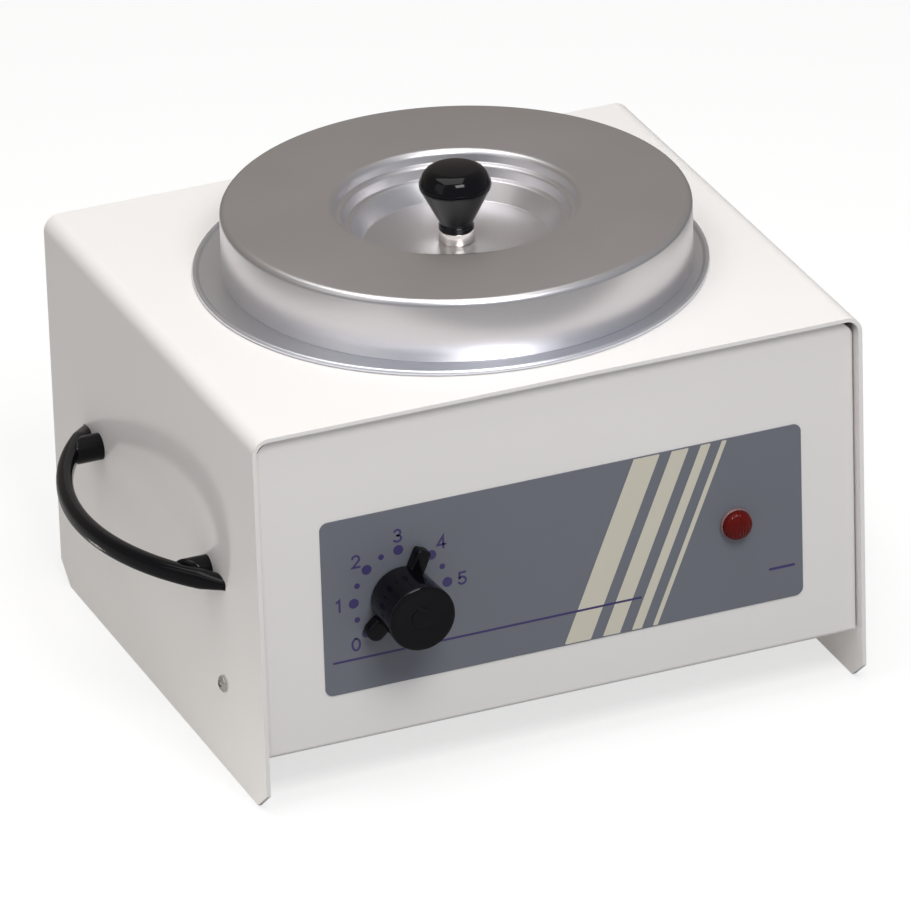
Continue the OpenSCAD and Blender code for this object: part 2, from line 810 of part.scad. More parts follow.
// Capillary: a thin tube from the thermostat to the bulb below the well
bulb_offset = 26;
capillary_rise = 22;
capillary_lead = 22;
bulb_y = mid_y - bulb_offset;
bulb_z = well_z - bulb_r - 0.1;
capillary_x = dial_x;
capillary_y = stat_plate + stat_d / 2;
capillary_z = floor_top + capillary_rise;
module capillary_tube() {
    color("peru")
    tube_route([
        [capillary_x, capillary_y, plate_z - stat_w / 2],
        [capillary_x, capillary_y, capillary_z],
        [capillary_x, bulb_y, capillary_z],
        [-bulb_len / 2 - capillary_lead, bulb_y, bulb_z - 10],
        [-bulb_len / 2 - 10, bulb_y, bulb_z],
        [-bulb_len / 2, bulb_y, bulb_z]
    ], capillary_r, 5);
}

module sensor_bulb() {
    color("peru")
    translate([-bulb_len / 2, bulb_y, bulb_z]) rotate([0, 90, 0])
        cylinder(r = bulb_r, h = bulb_len);
}

// Clip that presses the bulb against the well's floor
clip_w = 12;
clip_t = 0.8;
stud_r = 1.45;
stud_len = 8;
clip_stud = bulb_r + 6;
module bulb_clip() {
    inner = bulb_r + 0.1;
    color("silver")
    translate([-clip_w / 2, bulb_y, 0]) rotate([90, 0, 90]) difference() {
        linear_extrude(clip_w) union() {
            intersection() {
                translate([0, bulb_z]) difference() {
                    circle(inner + clip_t);
                    circle(inner);
                }
                translate([-20, bulb_z - 20]) square([40, 20]);
            }
            for (s = [-1, 1])
                translate([s * (inner + clip_t / 2) - clip_t / 2, bulb_z - eps])
                    square([clip_t, well_z - bulb_z + eps]);
            translate([inner, well_z - clip_t]) square([10, clip_t]);
        }
        translate([clip_stud, well_z - clip_t - 1, clip_w / 2]) rotate([-90, 0, 0])
            cylinder(r = stud_r + 0.2, h = clip_t + 2);
    }
}

// Signal lamp: ribbed lens in a slim bezel, held by a nut behind the panel

lamp_stem_r = 6;
bezel_r = 8.2;
bezel_t = 1.4;
lamp_len = 18;
module lamp_lens() {
    dome_r = (lens_r * lens_r + pow(lens_out - 1.6, 2)) / (2 * (lens_out - 1.6));
    color("darkred")
    facing_front(lamp_x, plate_y - bezel_t, plate_z) union() {
        cylinder(r = lens_r, h = 1.6);
        intersection() {
            translate([0, 0, lens_out - dome_r]) sphere(dome_r, $fn = 128);
            cylinder(r = lens_r, h = lens_out + 1);
        }
    }
}

module lamp_bezel() {
    color("whitesmoke")
    facing_front(lamp_x, plate_y, plate_z) union() {
        rotate_extrude() polygon(concat(
            [[0, 0], [bezel_r, 0]],
            arc([bezel_r - 0.5, bezel_t - 0.1], 0.5, 0, 90, 4),
            [[lens_r + 0.2, bezel_t + 0.4], [lens_r + 0.2, bezel_t], [0, bezel_t]]
        ));
        translate([0, 0, -lamp_len]) cylinder(r = lamp_stem_r, h = lamp_len + eps);
    }
}

module lamp_nut() {
    color("whitesmoke")
    facing_front(lamp_x, panel_y + chassis_sheet + nut_h, plate_z)
        hex_nut(16, nut_h, lamp_stem_r + thread_clear);
}

lamp_back = plate_y + lamp_len;
lamp_tab_x = 3;
module lamp_tab_place(e) {
    translate([lamp_x + e * lamp_tab_x, lamp_back, plate_z]) rotate([-90, 90, 0]) children();
}

module lamp_tabs() {
    color("goldenrod")
    for (e = [-1, 1])
        lamp_tab_place(e) tab(tab_len);
}

// Handles: a flat bow with a boss at each end, tapering to the wall beyond the bosses

handle_arc_r = (handle_len * handle_len / 4 + handle_reach * handle_reach)
               / (2 * handle_reach);
handle_centre = housing_w / 2 - (handle_arc_r - handle_reach);
handle_bore = 13;
module handle() {
    side_x = housing_w / 2;
    bar_r = handle_bar_t / 2;
    tip_h = handle_bar_h * 0.5;
    half = handle_len / 2;
    difference() {
        intersection() {
            union() {
                translate([handle_centre, mid_y, handle_z]) rotate(-60)
                    rotate_extrude(angle = 120) translate([handle_arc_r - bar_r, 0]) {
                        for (e = [-1, 1])
                            translate([0, e * (handle_bar_h / 2 - bar_r)]) circle(bar_r);
                        square([handle_bar_t, handle_bar_h - handle_bar_t], center = true);
                    }
                for (e = [-1, 1])
                    intersection() {
                        translate([side_x, mid_y + e * handle_pitch / 2, handle_z])
                            rotate([0, 90, 0]) cylinder(r = handle_boss_r, h = handle_reach);
                        translate([handle_centre, mid_y, handle_z - handle_boss_r - 1])
                            cylinder(r = handle_arc_r - bar_r * 1.5, h = 2 * handle_boss_r + 2,
                                     $fn = 200);
                    }
            }
            translate([side_x, mid_y, handle_z]) rotate([90, 0, 90])
                linear_extrude(handle_reach + 5)
                    polygon([
                        [-half, -tip_h / 2], [-half, tip_h / 2],
                        [-handle_pitch / 2 - handle_boss_r, handle_boss_r],
                        [handle_pitch / 2 + handle_boss_r, handle_boss_r],
                        [half, tip_h / 2], [half, -tip_h / 2],
                        [handle_pitch / 2 + handle_boss_r, -handle_boss_r],
                        [-handle_pitch / 2 - handle_boss_r, -handle_boss_r]
                    ]);
        }
        for (e = [-1, 1])
            translate([side_x - 1, mid_y + e * handle_pitch / 2, handle_z])
                rotate([0, 90, 0]) cylinder(r = screw_r + thread_clear, h = handle_bore + 1);
    }
}

module handle_left() {
    color("#16151a") mirror([1, 0, 0]) handle();
}

module handle_right() {
    color("#16151a") handle();
}

// The handles' screws come from inside, through the side of the cover
module handle_screws() {
    color("silver")
    for (s = [-1, 1], e = [-1, 1])
        facing_side(s, housing_w / 2 - cover_sheet - washer_t,
                    mid_y + e * handle_pitch / 2, handle_z)
            mirror([0, 0, 1]) pan_screw(washer_t + cover_sheet + handle_bore - 1.5);
}

module handle_washers() {
    color("silver")
    for (s = [-1, 1], e = [-1, 1])
        facing_side(s, housing_w / 2 - cover_sheet - washer_t,
                    mid_y + e * handle_pitch / 2, handle_z)
            difference() {
                cylinder(r = washer_r, h = washer_t);
                translate([0, 0, -1]) cylinder(r = hole_r, h = washer_t + 2);
            }
}

module cover_screws() {
    length = cover_sheet + chassis_gap + clinch_len;
    color("silver")
    for (s = [-1, 1], e = [-1, 1])
        facing_side(s, housing_w / 2, mid_y + e * cover_screw_pitch / 2, cover_screw_z)
            pan_screw(length);
}

// Press-in nuts in the folded edges of the chassis floor
module clinch_nuts() {
    color("silver")
    for (s = [-1, 1], e = [-1, 1])
        facing_side(s, flange_x - clinch_len, mid_y + e * cover_screw_pitch / 2, cover_screw_z)
            difference() {
                union() {
                    cylinder(r = clinch_body_r, h = clinch_len - chassis_sheet);
                    cylinder(r = clinch_r, h = clinch_len);
                }
                translate([0, 0, -1])
                    cylinder(r = screw_r + thread_clear, h = clinch_len + 2);
            }
}

// Heating well: a steel cup around the pot, on three legs

module heating_well() {
    top = well_top;
    color("lightgray")
    translate([0, mid_y, 0]) union() {
        rotate_extrude() union() {
            translate([0, well_z]) square([well_r - well_corner, well_sheet]);
            translate([well_r - well_corner, well_z + well_corner]) mirror([0, 1])
                quarter_bend(well_corner, well_sheet);
            translate([well_r - well_sheet, well_z + well_corner])
                square([well_sheet, top - well_z - well_corner]);
            translate([well_r - well_sheet, top - well_sheet])
                square([well_flange_r - well_r + well_sheet, well_sheet]);
        }
        for (p = stud_points)
            translate([p[0], p[1] - mid_y, well_z - stud_len])
                cylinder(r = stud_r, h = stud_len + eps);
    }
}

leg_angles = [30, 150, 270];
leg_hole_r = leg_r - 11;
leg_t = 1.5;
module well_legs() {
    rise = well_z - floor_top;
    color("lightgray")
    for (a = leg_angles)
        translate([0, mid_y, floor_top]) rotate(a) difference() {
            translate([0, leg_w / 2, 0]) rotate([90, 0, 0]) linear_extrude(leg_w) union() {
                translate([leg_r - leg_t, leg_t]) square([leg_t, rise - 2 * leg_t]);
                translate([leg_r - 20, 0]) square([20, leg_t]);
                translate([leg_r - 16, rise - leg_t]) square([16, leg_t]);
            }
            translate([leg_hole_r, 0, -1]) cylinder(r = screw_r + thread_clear, h = leg_t + 2);
            translate([leg_r - leg_t - 1, 0, rise / 2]) rotate([0, 90, 0])
                cylinder(r = 4.5, h = leg_t + 2);
        }
}

module leg_screws() {
    color("silver")
    for (a = leg_angles)
        translate([0, mid_y, chassis_z]) rotate(a) translate([leg_hole_r, 0, 0])
            mirror([0, 0, 1]) pan_screw(chassis_sheet + leg_t + thread_end);
}

// Band heater: a mica strip clamped around the well

ear_len = 13;
ear_t = 2;
band_start = band_angle + band_gap_angle / 2;
module band_heater() {
    color("peru")
    translate([0, mid_y, band_z]) union() {
        rotate(band_start) rotate_extrude(angle = 360 - band_gap_angle)
            translate([well_r + fit_gap, 0]) square([band_t - fit_gap, band_h]);
        for (e = [-1, 1])
            rotate(band_angle + e * band_gap_angle / 2) difference() {
                translate([well_r + fit_gap, e > 0 ? 0 : -ear_t, band_h * 0.25])
                    cube([ear_len, ear_t, band_h * 0.5]);
                translate([well_r + ear_len / 2 + 2, -ear_t - 1, band_h / 2])
                    rotate([-90, 0, 0]) cylinder(r = hole_r, h = 2 * ear_t + 2);
            }
    }
}

// Clamp screw across the band's two ears
ear_hole = [well_r + ear_len / 2 + 2, band_z + band_h / 2];
ear_span = 2 * ear_hole[0] * sin(band_gap_angle / 2) + 2 * ear_t * cos(band_gap_angle / 2);
ear_mid = ear_hole[0] * cos(band_gap_angle / 2);
module band_screw() {
    color("silver")
    translate([0, mid_y, ear_hole[1]]) rotate(band_angle)
        translate([ear_mid, -ear_span / 2 - 1, 0]) rotate([90, 0, 0])
            pan_screw(ear_span + 2 + nut_h + 1, screw_r - 0.3);
}

module band_nut() {
    color("silver")
    translate([0, mid_y, ear_hole[1]]) rotate(band_angle)
        translate([ear_mid, ear_span / 2 + 1, 0]) rotate([-90, 0, 0])
            hex_nut(nut_af, nut_h, screw_r - 0.3 + thread_clear);
}

heater_tab_angles = [28, 52];
heater_tab_z = band_z + band_h - 12;
module heater_tab_place(a) {
    translate([0, mid_y, heater_tab_z]) rotate(a)
        translate([band_r, 0, 0]) rotate([0, 90, 0]) children();
}

module heater_tabs() {
    color("goldenrod")
    for (a = heater_tab_angles)
        heater_tab_place(a) tab(wrap_t + tab_len);
}

module insulation_wrap() {
    margin = 14;
    start = band_start + margin;
    sweep = 360 - band_gap_angle - 2 * margin;
    color("white")
    difference() {
        translate([0, mid_y, band_z]) rotate(start) rotate_extrude(angle = sweep)
            translate([band_r + fit_gap, 0]) square([wrap_t - fit_gap, band_h]);
        for (a = heater_tab_angles)
            heater_tab_place(a)
                cube([tab_w + 2, tab_t + 2, 4 * wrap_t], center = true);
    }
}

// Thermal cut-out: a small snap-disc switch below the well

cutout_x = 26;
cutout_y = mid_y + 34;
cutout_r = 7.5;
cutout_pitch = 24;
cutout_plate = 1;
cutout_h = 11;
cutout_tab_x = 4;
module cutout_tab_place(e) {
    translate([cutout_x + e * cutout_tab_x, cutout_y, well_z - cutout_h])
        rotate([180, 0, 90]) children();
}

module cutout_tabs() {
    color("goldenrod")
    for (e = [-1, 1])
        cutout_tab_place(e) tab(tab_len);
}

module thermal_cutout() {
    color("dimgray")
    translate([cutout_x, cutout_y, well_z]) union() {
        difference() {
            translate([0, 0, -cutout_plate]) linear_extrude(cutout_plate)
                rounded(cutout_pitch + 8, 9, 4);
            for (e = [-1, 1])
                translate([e * cutout_pitch / 2, 0, -cutout_plate - 1])
                    cylinder(r = stud_r + 0.2, h = cutout_plate + 2);
        }
        translate([0, 0, -cutout_h]) cylinder(r = cutout_r, h = cutout_h - cutout_plate + eps);
    }
}

// Studs below the well: two for the cut-out, one for the bulb clip
stud_points = [
    [cutout_x - cutout_pitch / 2, cutout_y],
    [cutout_x + cutout_pitch / 2, cutout_y],
    [0, bulb_y + clip_stud]
];
stud_plates = [cutout_plate, cutout_plate, clip_t];
module floor_nuts() {
    color("silver")
    for (i = [0:2])
        translate([stud_points[i][0], stud_points[i][1], well_z - stud_plates[i] - small_nut_h])
            hex_nut(small_nut_af, small_nut_h, stud_r + thread_clear);
}

// Terminal block on the chassis floor: three poles on a common foot, two screws between

block_x = -104;
block_y = mid_y + 52;
pole_step = 14;
pole_w = 7.6;
pole_d = 17;
pole_h = 11;
pole_screw_r = 1.8;
pole_bore = 2.2;
block_foot = 3;
pole_x = [block_x - pole_step, block_x, block_x + pole_step];
pole_z = floor_top + block_foot + 4.4;
module terminal_block() {
    length = 2 * pole_step + pole_w;
    color("ivory")
    difference() {
        union() {
            translate([block_x - length / 2, block_y - pole_d / 2, floor_top])
                cube([length, pole_d, block_foot]);
            for (x = pole_x)
                translate([x - pole_w / 2, block_y - pole_d / 2, floor_top])
                    cube([pole_w, pole_d, block_foot + pole_h]);
        }
        for (x = pole_x) {
            translate([x, block_y + pole_d, pole_z]) rotate([90, 0, 0])
                cylinder(r = pole_bore, h = 2 * pole_d);
            for (e = [-1, 1])
                translate([x, block_y + e * pole_d / 4, pole_z])
                    cylinder(r = pole_screw_r + thread_clear, h = pole_h + 2);
        }
        for (x = block_screw_x)
            translate([x, block_y, floor_top - 1])
                cylinder(r = screw_r + fit_gap, h = block_foot + 2);
    }
}

module terminal_screws() {
    rise = wire_r + 0.1;
    color("silver")
    for (x = pole_x, e = [-1, 1])
        translate([x, block_y + e * pole_d / 4, pole_z + rise]) difference() {
            cylinder(r = pole_screw_r, h = 4.4);
            translate([-3, -0.35, 3.6]) cube([6, 0.7, 2]);
        }
}

block_screw_x = [block_x - pole_step / 2, block_x + pole_step / 2];
module block_screws() {
    color("silver")
    for (x = block_screw_x)
        translate([x, block_y, floor_top + block_foot])
            pan_screw(block_foot + chassis_sheet + thread_end, screw_r,
                      small_head_r, small_head_h);
}

earth_x = -62;
earth_y = mid_y + 96;
lug_r = 4.4;
lug_t = 0.8;
earth_run = 13;
module earth_stud() {
    color("silver")
    translate([earth_x, earth_y, floor_top]) union() {
        cylinder(r = lug_r, h = 1);
        cylinder(r = screw_r, h = 12);
    }
}

module earth_nut() {
    color("silver")
    translate([earth_x, earth_y, floor_top + 1 + lug_t]) union() {
        difference() {
            cylinder(r = lug_r, h = 1);
            translate([0, 0, -1]) cylinder(r = screw_r + thread_clear, h = 3);
        }
        translate([0, 0, 1 - eps]) hex_nut(nut_af, nut_h, screw_r + thread_clear);
    }
}

// Mains inlet: a shrouded three-pin socket, screwed to the rear panel

inlet_screw_r = 1.45;
inlet_flange = 3;
inlet_flange_h = 24;
inlet_floor = 2.5;
pin_len = 15;
pin_tail = 9;
pin_gap = 7;
pin_drop = 1.6;
earth_pin_rise = 2.4;
pin_spots = [[-pin_gap, -pin_drop], [pin_gap, -pin_drop], [0, earth_pin_rise]];
module inlet_body() {
    floor_y = back_y + inlet_flange - socket_depth;
    color("#202024")
    difference() {
        union() {
            upright(back_y, inlet_flange)
                translate([inlet_x, inlet_z]) rounded(inlet_pitch + 10, inlet_flange_h, 4);
            upright(floor_y - inlet_floor, socket_depth - inlet_flange + inlet_floor + eps)
                translate([inlet_x, inlet_z])
                    rounded(socket_w + 2 * socket_wall, socket_h + 2 * socket_wall, 2);
        }
        upright(floor_y, socket_depth + 1)
            translate([inlet_x, inlet_z]) rounded(socket_w, socket_h, 1);
        for (e = [-1, 1])
            facing_front(inlet_x + e * inlet_pitch / 2, back_y + inlet_flange + 1, inlet_z)
                cylinder(r = inlet_screw_r + fit_gap, h = inlet_flange + 2);
        for (p = pin_spots)
            upright(floor_y - inlet_floor - 1, inlet_floor + 2)
                translate([inlet_x + p[0], inlet_z + p[1]])
                square([2, 4], center = true);
    }
}

module inlet_pins() {
    floor_y = back_y + inlet_flange - socket_depth;
    color("silver")
    for (p = pin_spots)
        upright(floor_y - inlet_floor - pin_tail, pin_tail + inlet_floor + pin_len - 2)
            translate([inlet_x + p[0], inlet_z + p[1]]) square([2, 4], center = true);
}

module inlet_screws() {
    color("silver")
    for (e = [-1, 1])
        translate([inlet_x + e * inlet_pitch / 2, back_y + inlet_flange, inlet_z])
            rotate([-90, 0, 0])
                pan_screw(inlet_flange + chassis_sheet + thread_end, inlet_screw_r,
                          small_head_r, small_head_h);
}

module inlet_nuts() {
    color("silver")
    for (e = [-1, 1])
        facing_front(inlet_x + e * inlet_pitch / 2, back_y - chassis_sheet, inlet_z)
            hex_nut(small_nut_af, small_nut_h, inlet_screw_r + thread_clear);
}

// Wires: from the inlet over the terminal block to the thermostat, the cut-out,
// the heater and the lamp. They lie on a few lanes above the chassis floor.

pin_back = back_y + inlet_flange - socket_depth - inlet_floor - pin_tail;
pole_end = pole_d / 2 - 2;
stat_wire_z = plate_z - stat_w / 2 - tab_len - sleeve_end + 1;
cutout_wire_z = well_z - cutout_h - tab_len - sleeve_end + 1;
heater_wire_r = band_r + wrap_t + tab_len + sleeve_end - 1;
lamp_wire_y = lamp_back + tab_len + sleeve_end - 1;
pair = wire_r + 0.15;
lamp_rise_y = lamp_wire_y + 8;
front_lane_z = pole_z + 9;
rear_lane_z = pole_z + 12;
rear_lane_y = block_y + 20;
drop_r = heater_wire_r + 9;

function ring_point(a, r, z) = [r * cos(a), mid_y + r * sin(a), z];

module wire(points) {
    tube_route(points, wire_r, wire_bend);
}

module live_wires() {
    color("saddlebrown") {
        wire([
            [inlet_x - pin_gap, pin_back, inlet_z - pin_drop],
            [inlet_x - pin_gap, block_y + 32, inlet_z - pin_drop],
            [pole_x[0], block_y + 32, pole_z],
            [pole_x[0], block_y + pole_end, pole_z]
        ]);
        wire([
            [pole_x[0], block_y - pole_end, pole_z],
            [pole_x[0], stat_tab_y + 24, pole_z],
            [dial_x - stat_tab_x, stat_tab_y, pole_z],
            [dial_x - stat_tab_x, stat_tab_y, stat_wire_z]
        ]);
        stat_tab_place(-1) sleeve();
    }
}

module switched_wires() {
    color("black") {
        wire([
            [dial_x + stat_tab_x - pair, stat_tab_y, stat_wire_z],
            [dial_x + stat_tab_x - pair, stat_tab_y, pole_z],
            [pole_x[1], stat_tab_y + 28, pole_z],
            [pole_x[1], block_y - pole_end, pole_z]
        ]);
        wire([
            [dial_x + stat_tab_x + pair, stat_tab_y, stat_wire_z],
            [dial_x + stat_tab_x + pair, stat_tab_y, front_lane_z],
            [lamp_x - lamp_tab_x, stat_tab_y, front_lane_z],
            [lamp_x - lamp_tab_x, lamp_rise_y, front_lane_z],
            [lamp_x - lamp_tab_x, lamp_rise_y, plate_z],
            [lamp_x - lamp_tab_x, lamp_wire_y, plate_z]
        ]);
        wire([
            [pole_x[1], block_y + pole_end, pole_z],
            [pole_x[1], rear_lane_y, pole_z],
            [pole_x[1], rear_lane_y, rear_lane_z],
            [cutout_x - cutout_tab_x, rear_lane_y, rear_lane_z],
            [cutout_x - cutout_tab_x, cutout_y, rear_lane_z],
            [cutout_x - cutout_tab_x, cutout_y, cutout_wire_z]
        ]);
        wire([
            [cutout_x + cutout_tab_x, cutout_y, cutout_wire_z],
            [cutout_x + cutout_tab_x, cutout_y, cutout_wire_z - 10],
            ring_point(heater_tab_angles[1], drop_r, cutout_wire_z - 10),
            ring_point(heater_tab_angles[1], drop_r, heater_tab_z),
            ring_point(heater_tab_angles[1], heater_wire_r, heater_tab_z)
        ]);
        stat_tab_place(1) sleeve();
        lamp_tab_place(-1) sleeve();
        cutout_tab_place(-1) sleeve();
        cutout_tab_place(1) sleeve();
        heater_tab_place(heater_tab_angles[1]) translate([0, 0, wrap_t]) sleeve();
    }
}

module neutral_wires() {
    drop = ring_point(heater_tab_angles[0], drop_r, pole_z);
    color("royalblue") {
        wire([
            [inlet_x + pin_gap, pin_back, inlet_z - pin_drop],
            [inlet_x + pin_gap, block_y + 36, inlet_z - pin_drop],
            [pole_x[2], block_y + 36, pole_z],
            [pole_x[2], block_y + pole_end, pole_z]
        ]);
        wire([
            [pole_x[2] + pair, block_y - pole_end, pole_z],
            [pole_x[2] + pair, mid_y + 14, pole_z],
            [drop[0], mid_y + 14, pole_z],
            drop,
            [drop[0], drop[1], heater_tab_z],
            ring_point(heater_tab_angles[0], heater_wire_r, heater_tab_z)
        ]);
        wire([
            [pole_x[2] - pair, block_y - pole_end, pole_z],
            [pole_x[2] - pair, mid_y - 58, pole_z],
            [lamp_x + lamp_tab_x, mid_y - 58, pole_z],
            [lamp_x + lamp_tab_x, lamp_rise_y, pole_z],
            [lamp_x + lamp_tab_x, lamp_rise_y, plate_z],
            [lamp_x + lamp_tab_x, lamp_wire_y, plate_z]
        ]);
        lamp_tab_place(1) sleeve();
        heater_tab_place(heater_tab_angles[0]) translate([0, 0, wrap_t]) sleeve();
    }
}

module earth_wire() {
    lug_z = floor_top + 1 + lug_t + wire_r * 0.8;
    turn_y = earth_y - earth_run;
    color("yellowgreen")
    union() {
        wire([
            [inlet_x, pin_back, inlet_z + earth_pin_rise],
            [inlet_x, turn_y, inlet_z + earth_pin_rise],
            [earth_x, turn_y, inlet_z + earth_pin_rise],
            [earth_x, turn_y, lug_z],
            [earth_x, earth_y - lug_r - 1, lug_z]
        ]);
        translate([earth_x, earth_y, floor_top + 1]) difference() {
            union() {
                cylinder(r = lug_r, h = lug_t);
                translate([-lug_r / 2, -lug_r - 4, 0]) cube([lug_r, lug_r + 4, lug_t]);
            }
            translate([0, 0, -1]) cylinder(r = screw_r + thread_clear, h = 3);
        }
    }
}

cover();
chassis();
faceplate();
pot();
lid();
lid_ferrule();
lid_knob();
lid_knob_insert();
lid_knob_screw();
control_knob();
thermostat_shaft();
thermostat_body();
thermostat_bush();
thermostat_nut();
thermostat_tabs();
capillary_tube();
sensor_bulb();
bulb_clip();
lamp_lens();
lamp_bezel();
lamp_nut();
lamp_tabs();
handle_left();
handle_right();
handle_screws();
handle_washers();
cover_screws();
clinch_nuts();
heating_well();
well_legs();
leg_screws();
band_heater();
band_screw();
band_nut();
heater_tabs();
insulation_wrap();
thermal_cutout();
cutout_tabs();
floor_nuts();
terminal_block();
terminal_screws();
block_screws();
earth_stud();
earth_nut();
inlet_body();
inlet_pins();
inlet_screws();
inlet_nuts();
live_wires();
switched_wires();
neutral_wires();
earth_wire();
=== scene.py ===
# %% [markdown]
# A bench wax heater: a white sheet-metal box, a spun pot and lid, black plastic knobs and
# handles, a grey faceplate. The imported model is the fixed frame. Each cell below dresses
# one group of its pieces, and sizes are in millimetres until a mesh is made.

# %% Load the frame
import json
import math

import bmesh
import bpy
import numpy as np
from mathutils import Matrix, Vector


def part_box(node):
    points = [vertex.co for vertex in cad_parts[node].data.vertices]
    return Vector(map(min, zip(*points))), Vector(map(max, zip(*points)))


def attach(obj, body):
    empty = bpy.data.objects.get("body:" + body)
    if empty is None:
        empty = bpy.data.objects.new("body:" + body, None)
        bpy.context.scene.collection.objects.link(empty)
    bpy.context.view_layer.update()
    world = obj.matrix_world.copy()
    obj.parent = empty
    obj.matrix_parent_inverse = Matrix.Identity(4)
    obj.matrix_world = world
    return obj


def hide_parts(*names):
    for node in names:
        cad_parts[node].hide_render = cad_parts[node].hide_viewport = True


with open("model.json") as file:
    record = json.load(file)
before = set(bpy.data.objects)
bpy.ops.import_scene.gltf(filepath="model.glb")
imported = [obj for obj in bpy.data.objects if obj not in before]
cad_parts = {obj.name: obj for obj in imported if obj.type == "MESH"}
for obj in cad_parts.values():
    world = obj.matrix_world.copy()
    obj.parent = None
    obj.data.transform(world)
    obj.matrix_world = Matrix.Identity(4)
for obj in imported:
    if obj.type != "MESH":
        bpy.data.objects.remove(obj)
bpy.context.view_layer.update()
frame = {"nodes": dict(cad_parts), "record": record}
nodes = frame["nodes"]


def node_box(name):
    """Lowest and highest corner of a node in millimetres, as arrays."""
    low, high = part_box(name)
    return np.array(low) * 1000, np.array(high) * 1000


COVER_LOW, COVER_HIGH = node_box("cover")
MID_Y = (COVER_LOW + COVER_HIGH)[1] / 2
WIDTH, DEPTH, HEIGHT = COVER_HIGH - COVER_LOW
POT_LOW, POT_HIGH = node_box("pot")
LID_LOW, LID_HIGH = node_box("lid")
POT_AXIS = (POT_LOW + POT_HIGH) / 2 * (1, 1, 0)
LID_AXIS = (LID_LOW + LID_HIGH) / 2 * (1, 1, 0)
print("box of the cover:", np.round([WIDTH, DEPTH, HEIGHT], 2), "middle y", round(MID_Y, 2))

# %% [markdown]
# The photograph was taken with a long lens from the front left, a little above the lid.
# Its direction, roll and distance were solved from the box's straight edges and from the
# circles of lid and rim. The camera looks at a point inside the box from that distance.

# %% Camera
AZIMUTH, ELEVATION, ROLL = np.radians([-21.719, 26.172, -1.892])
AIM = np.array([-0.39, MID_Y - 3.288, 93.491])
DISTANCE = 4526.14
FOCAL = 383.02

back = Vector((math.sin(AZIMUTH) * math.cos(ELEVATION),
               -math.cos(AZIMUTH) * math.cos(ELEVATION),
               math.sin(ELEVATION)))
level = Vector((math.cos(AZIMUTH), math.sin(AZIMUTH), 0.0))
upward = back.cross(level)
across = math.cos(ROLL) * level + math.sin(ROLL) * upward
upright = math.cos(ROLL) * upward - math.sin(ROLL) * level

camera = bpy.data.objects.new("camera", bpy.data.cameras.new("camera"))
camera.data.lens = FOCAL
camera.data.sensor_width = 36.0
camera.data.clip_end = 50.0
place = Vector(AIM / 1000) + back * DISTANCE / 1000
camera.matrix_world = Matrix((across, upright, back)).transposed().to_4x4()
camera.matrix_world.translation = place
bpy.context.collection.objects.link(camera)
bpy.context.scene.camera = camera
print("camera at", [round(c, 3) for c in place])

# %% [markdown]
# The studio: a pale table under a pale sky that is warmer behind the object and cooler in
# front of it, and four lamps. One lamp stands low at the left rear, below the table, which
# lets its light pass: it casts the handle's shadow on the side. The table shows near white
# to the camera and still catches the object's shadow, because its lit surface and a faint
# glow are added together.

# %% Studio
world = bpy.data.worlds.new("studio")
bpy.context.scene.world = world
world.use_nodes = True
sky = world.node_tree
sky.nodes.clear()
BEHIND, BEFORE = (0.31, 0.285, 0.26, 1), (0.37, 0.39, 0.43, 1)
FADE = 0.7
direction = sky.nodes.new("ShaderNodeTexCoord")
split = sky.nodes.new("ShaderNodeSeparateXYZ")
share = sky.nodes.new("ShaderNodeMapRange")
share.inputs["From Min"].default_value = -FADE
share.inputs["From Max"].default_value = FADE
tone = sky.nodes.new("ShaderNodeMix")
tone.data_type = "RGBA"
tone.inputs["A"].default_value = BEFORE
tone.inputs["B"].default_value = BEHIND
glow = sky.nodes.new("ShaderNodeBackground")
sky.links.new(direction.outputs["Generated"], split.inputs[0])
sky.links.new(split.outputs["Y"], share.inputs["Value"])
sky.links.new(share.outputs[0], tone.inputs["Factor"])
sky.links.new(tone.outputs["Result"], glow.inputs["Color"])
seen = sky.nodes.new("ShaderNodeBackground")
seen.inputs["Color"].default_value = (1, 1, 1, 1)
seen.inputs["Strength"].default_value = 1.0
light_path = sky.nodes.new("ShaderNodeLightPath")
pick = sky.nodes.new("ShaderNodeMixShader")
sky_out = sky.nodes.new("ShaderNodeOutputWorld")
sky.links.new(light_path.outputs["Is Camera Ray"], pick.inputs[0])
sky.links.new(glow.outputs[0], pick.inputs[1])
sky.links.new(seen.outputs[0], pick.inputs[2])
sky.links.new(pick.outputs[0], sky_out.inputs[0])


def softbox(name, location, target, size, power, colour=(1, 1, 1)):
    """A rectangular area lamp at location that faces target, metres and watts."""
    data = bpy.data.lights.new(name, "AREA")
    data.shape = "RECTANGLE"
    data.size, data.size_y = size
    data.energy = power
    data.color = colour
    lamp = bpy.data.objects.new(name, data)
    direction = Vector(target) - Vector(location)
    lamp.matrix_world = direction.to_track_quat("-Z", "Y").to_matrix().to_4x4()
    lamp.matrix_world.translation = Vector(location)
    bpy.context.collection.objects.link(lamp)


softbox("top_lamp", location=(-0.2, 0.05, 1.5), target=(0, 0, 0.1), size=(1.2, 1.2),
        power=10.0)
softbox("front_lamp", location=(-0.05, -1.2, 1.45), target=(0, -0.1, 0.12),
        size=(0.75, 0.6), power=14.6, colour=(1.0, 0.985, 0.97))
softbox("left_lamp", location=(-1.5, -0.3, 1.1), target=(0, 0, 0.1), size=(0.9, 0.9),
        power=1.6, colour=(1.0, 0.95, 0.88))
softbox("low_lamp", location=(-0.98, 1.26, -0.9), target=(-0.15, 0.01, 0.1),
        size=(0.12, 0.12), power=4.4, colour=(1.0, 0.96, 0.9))

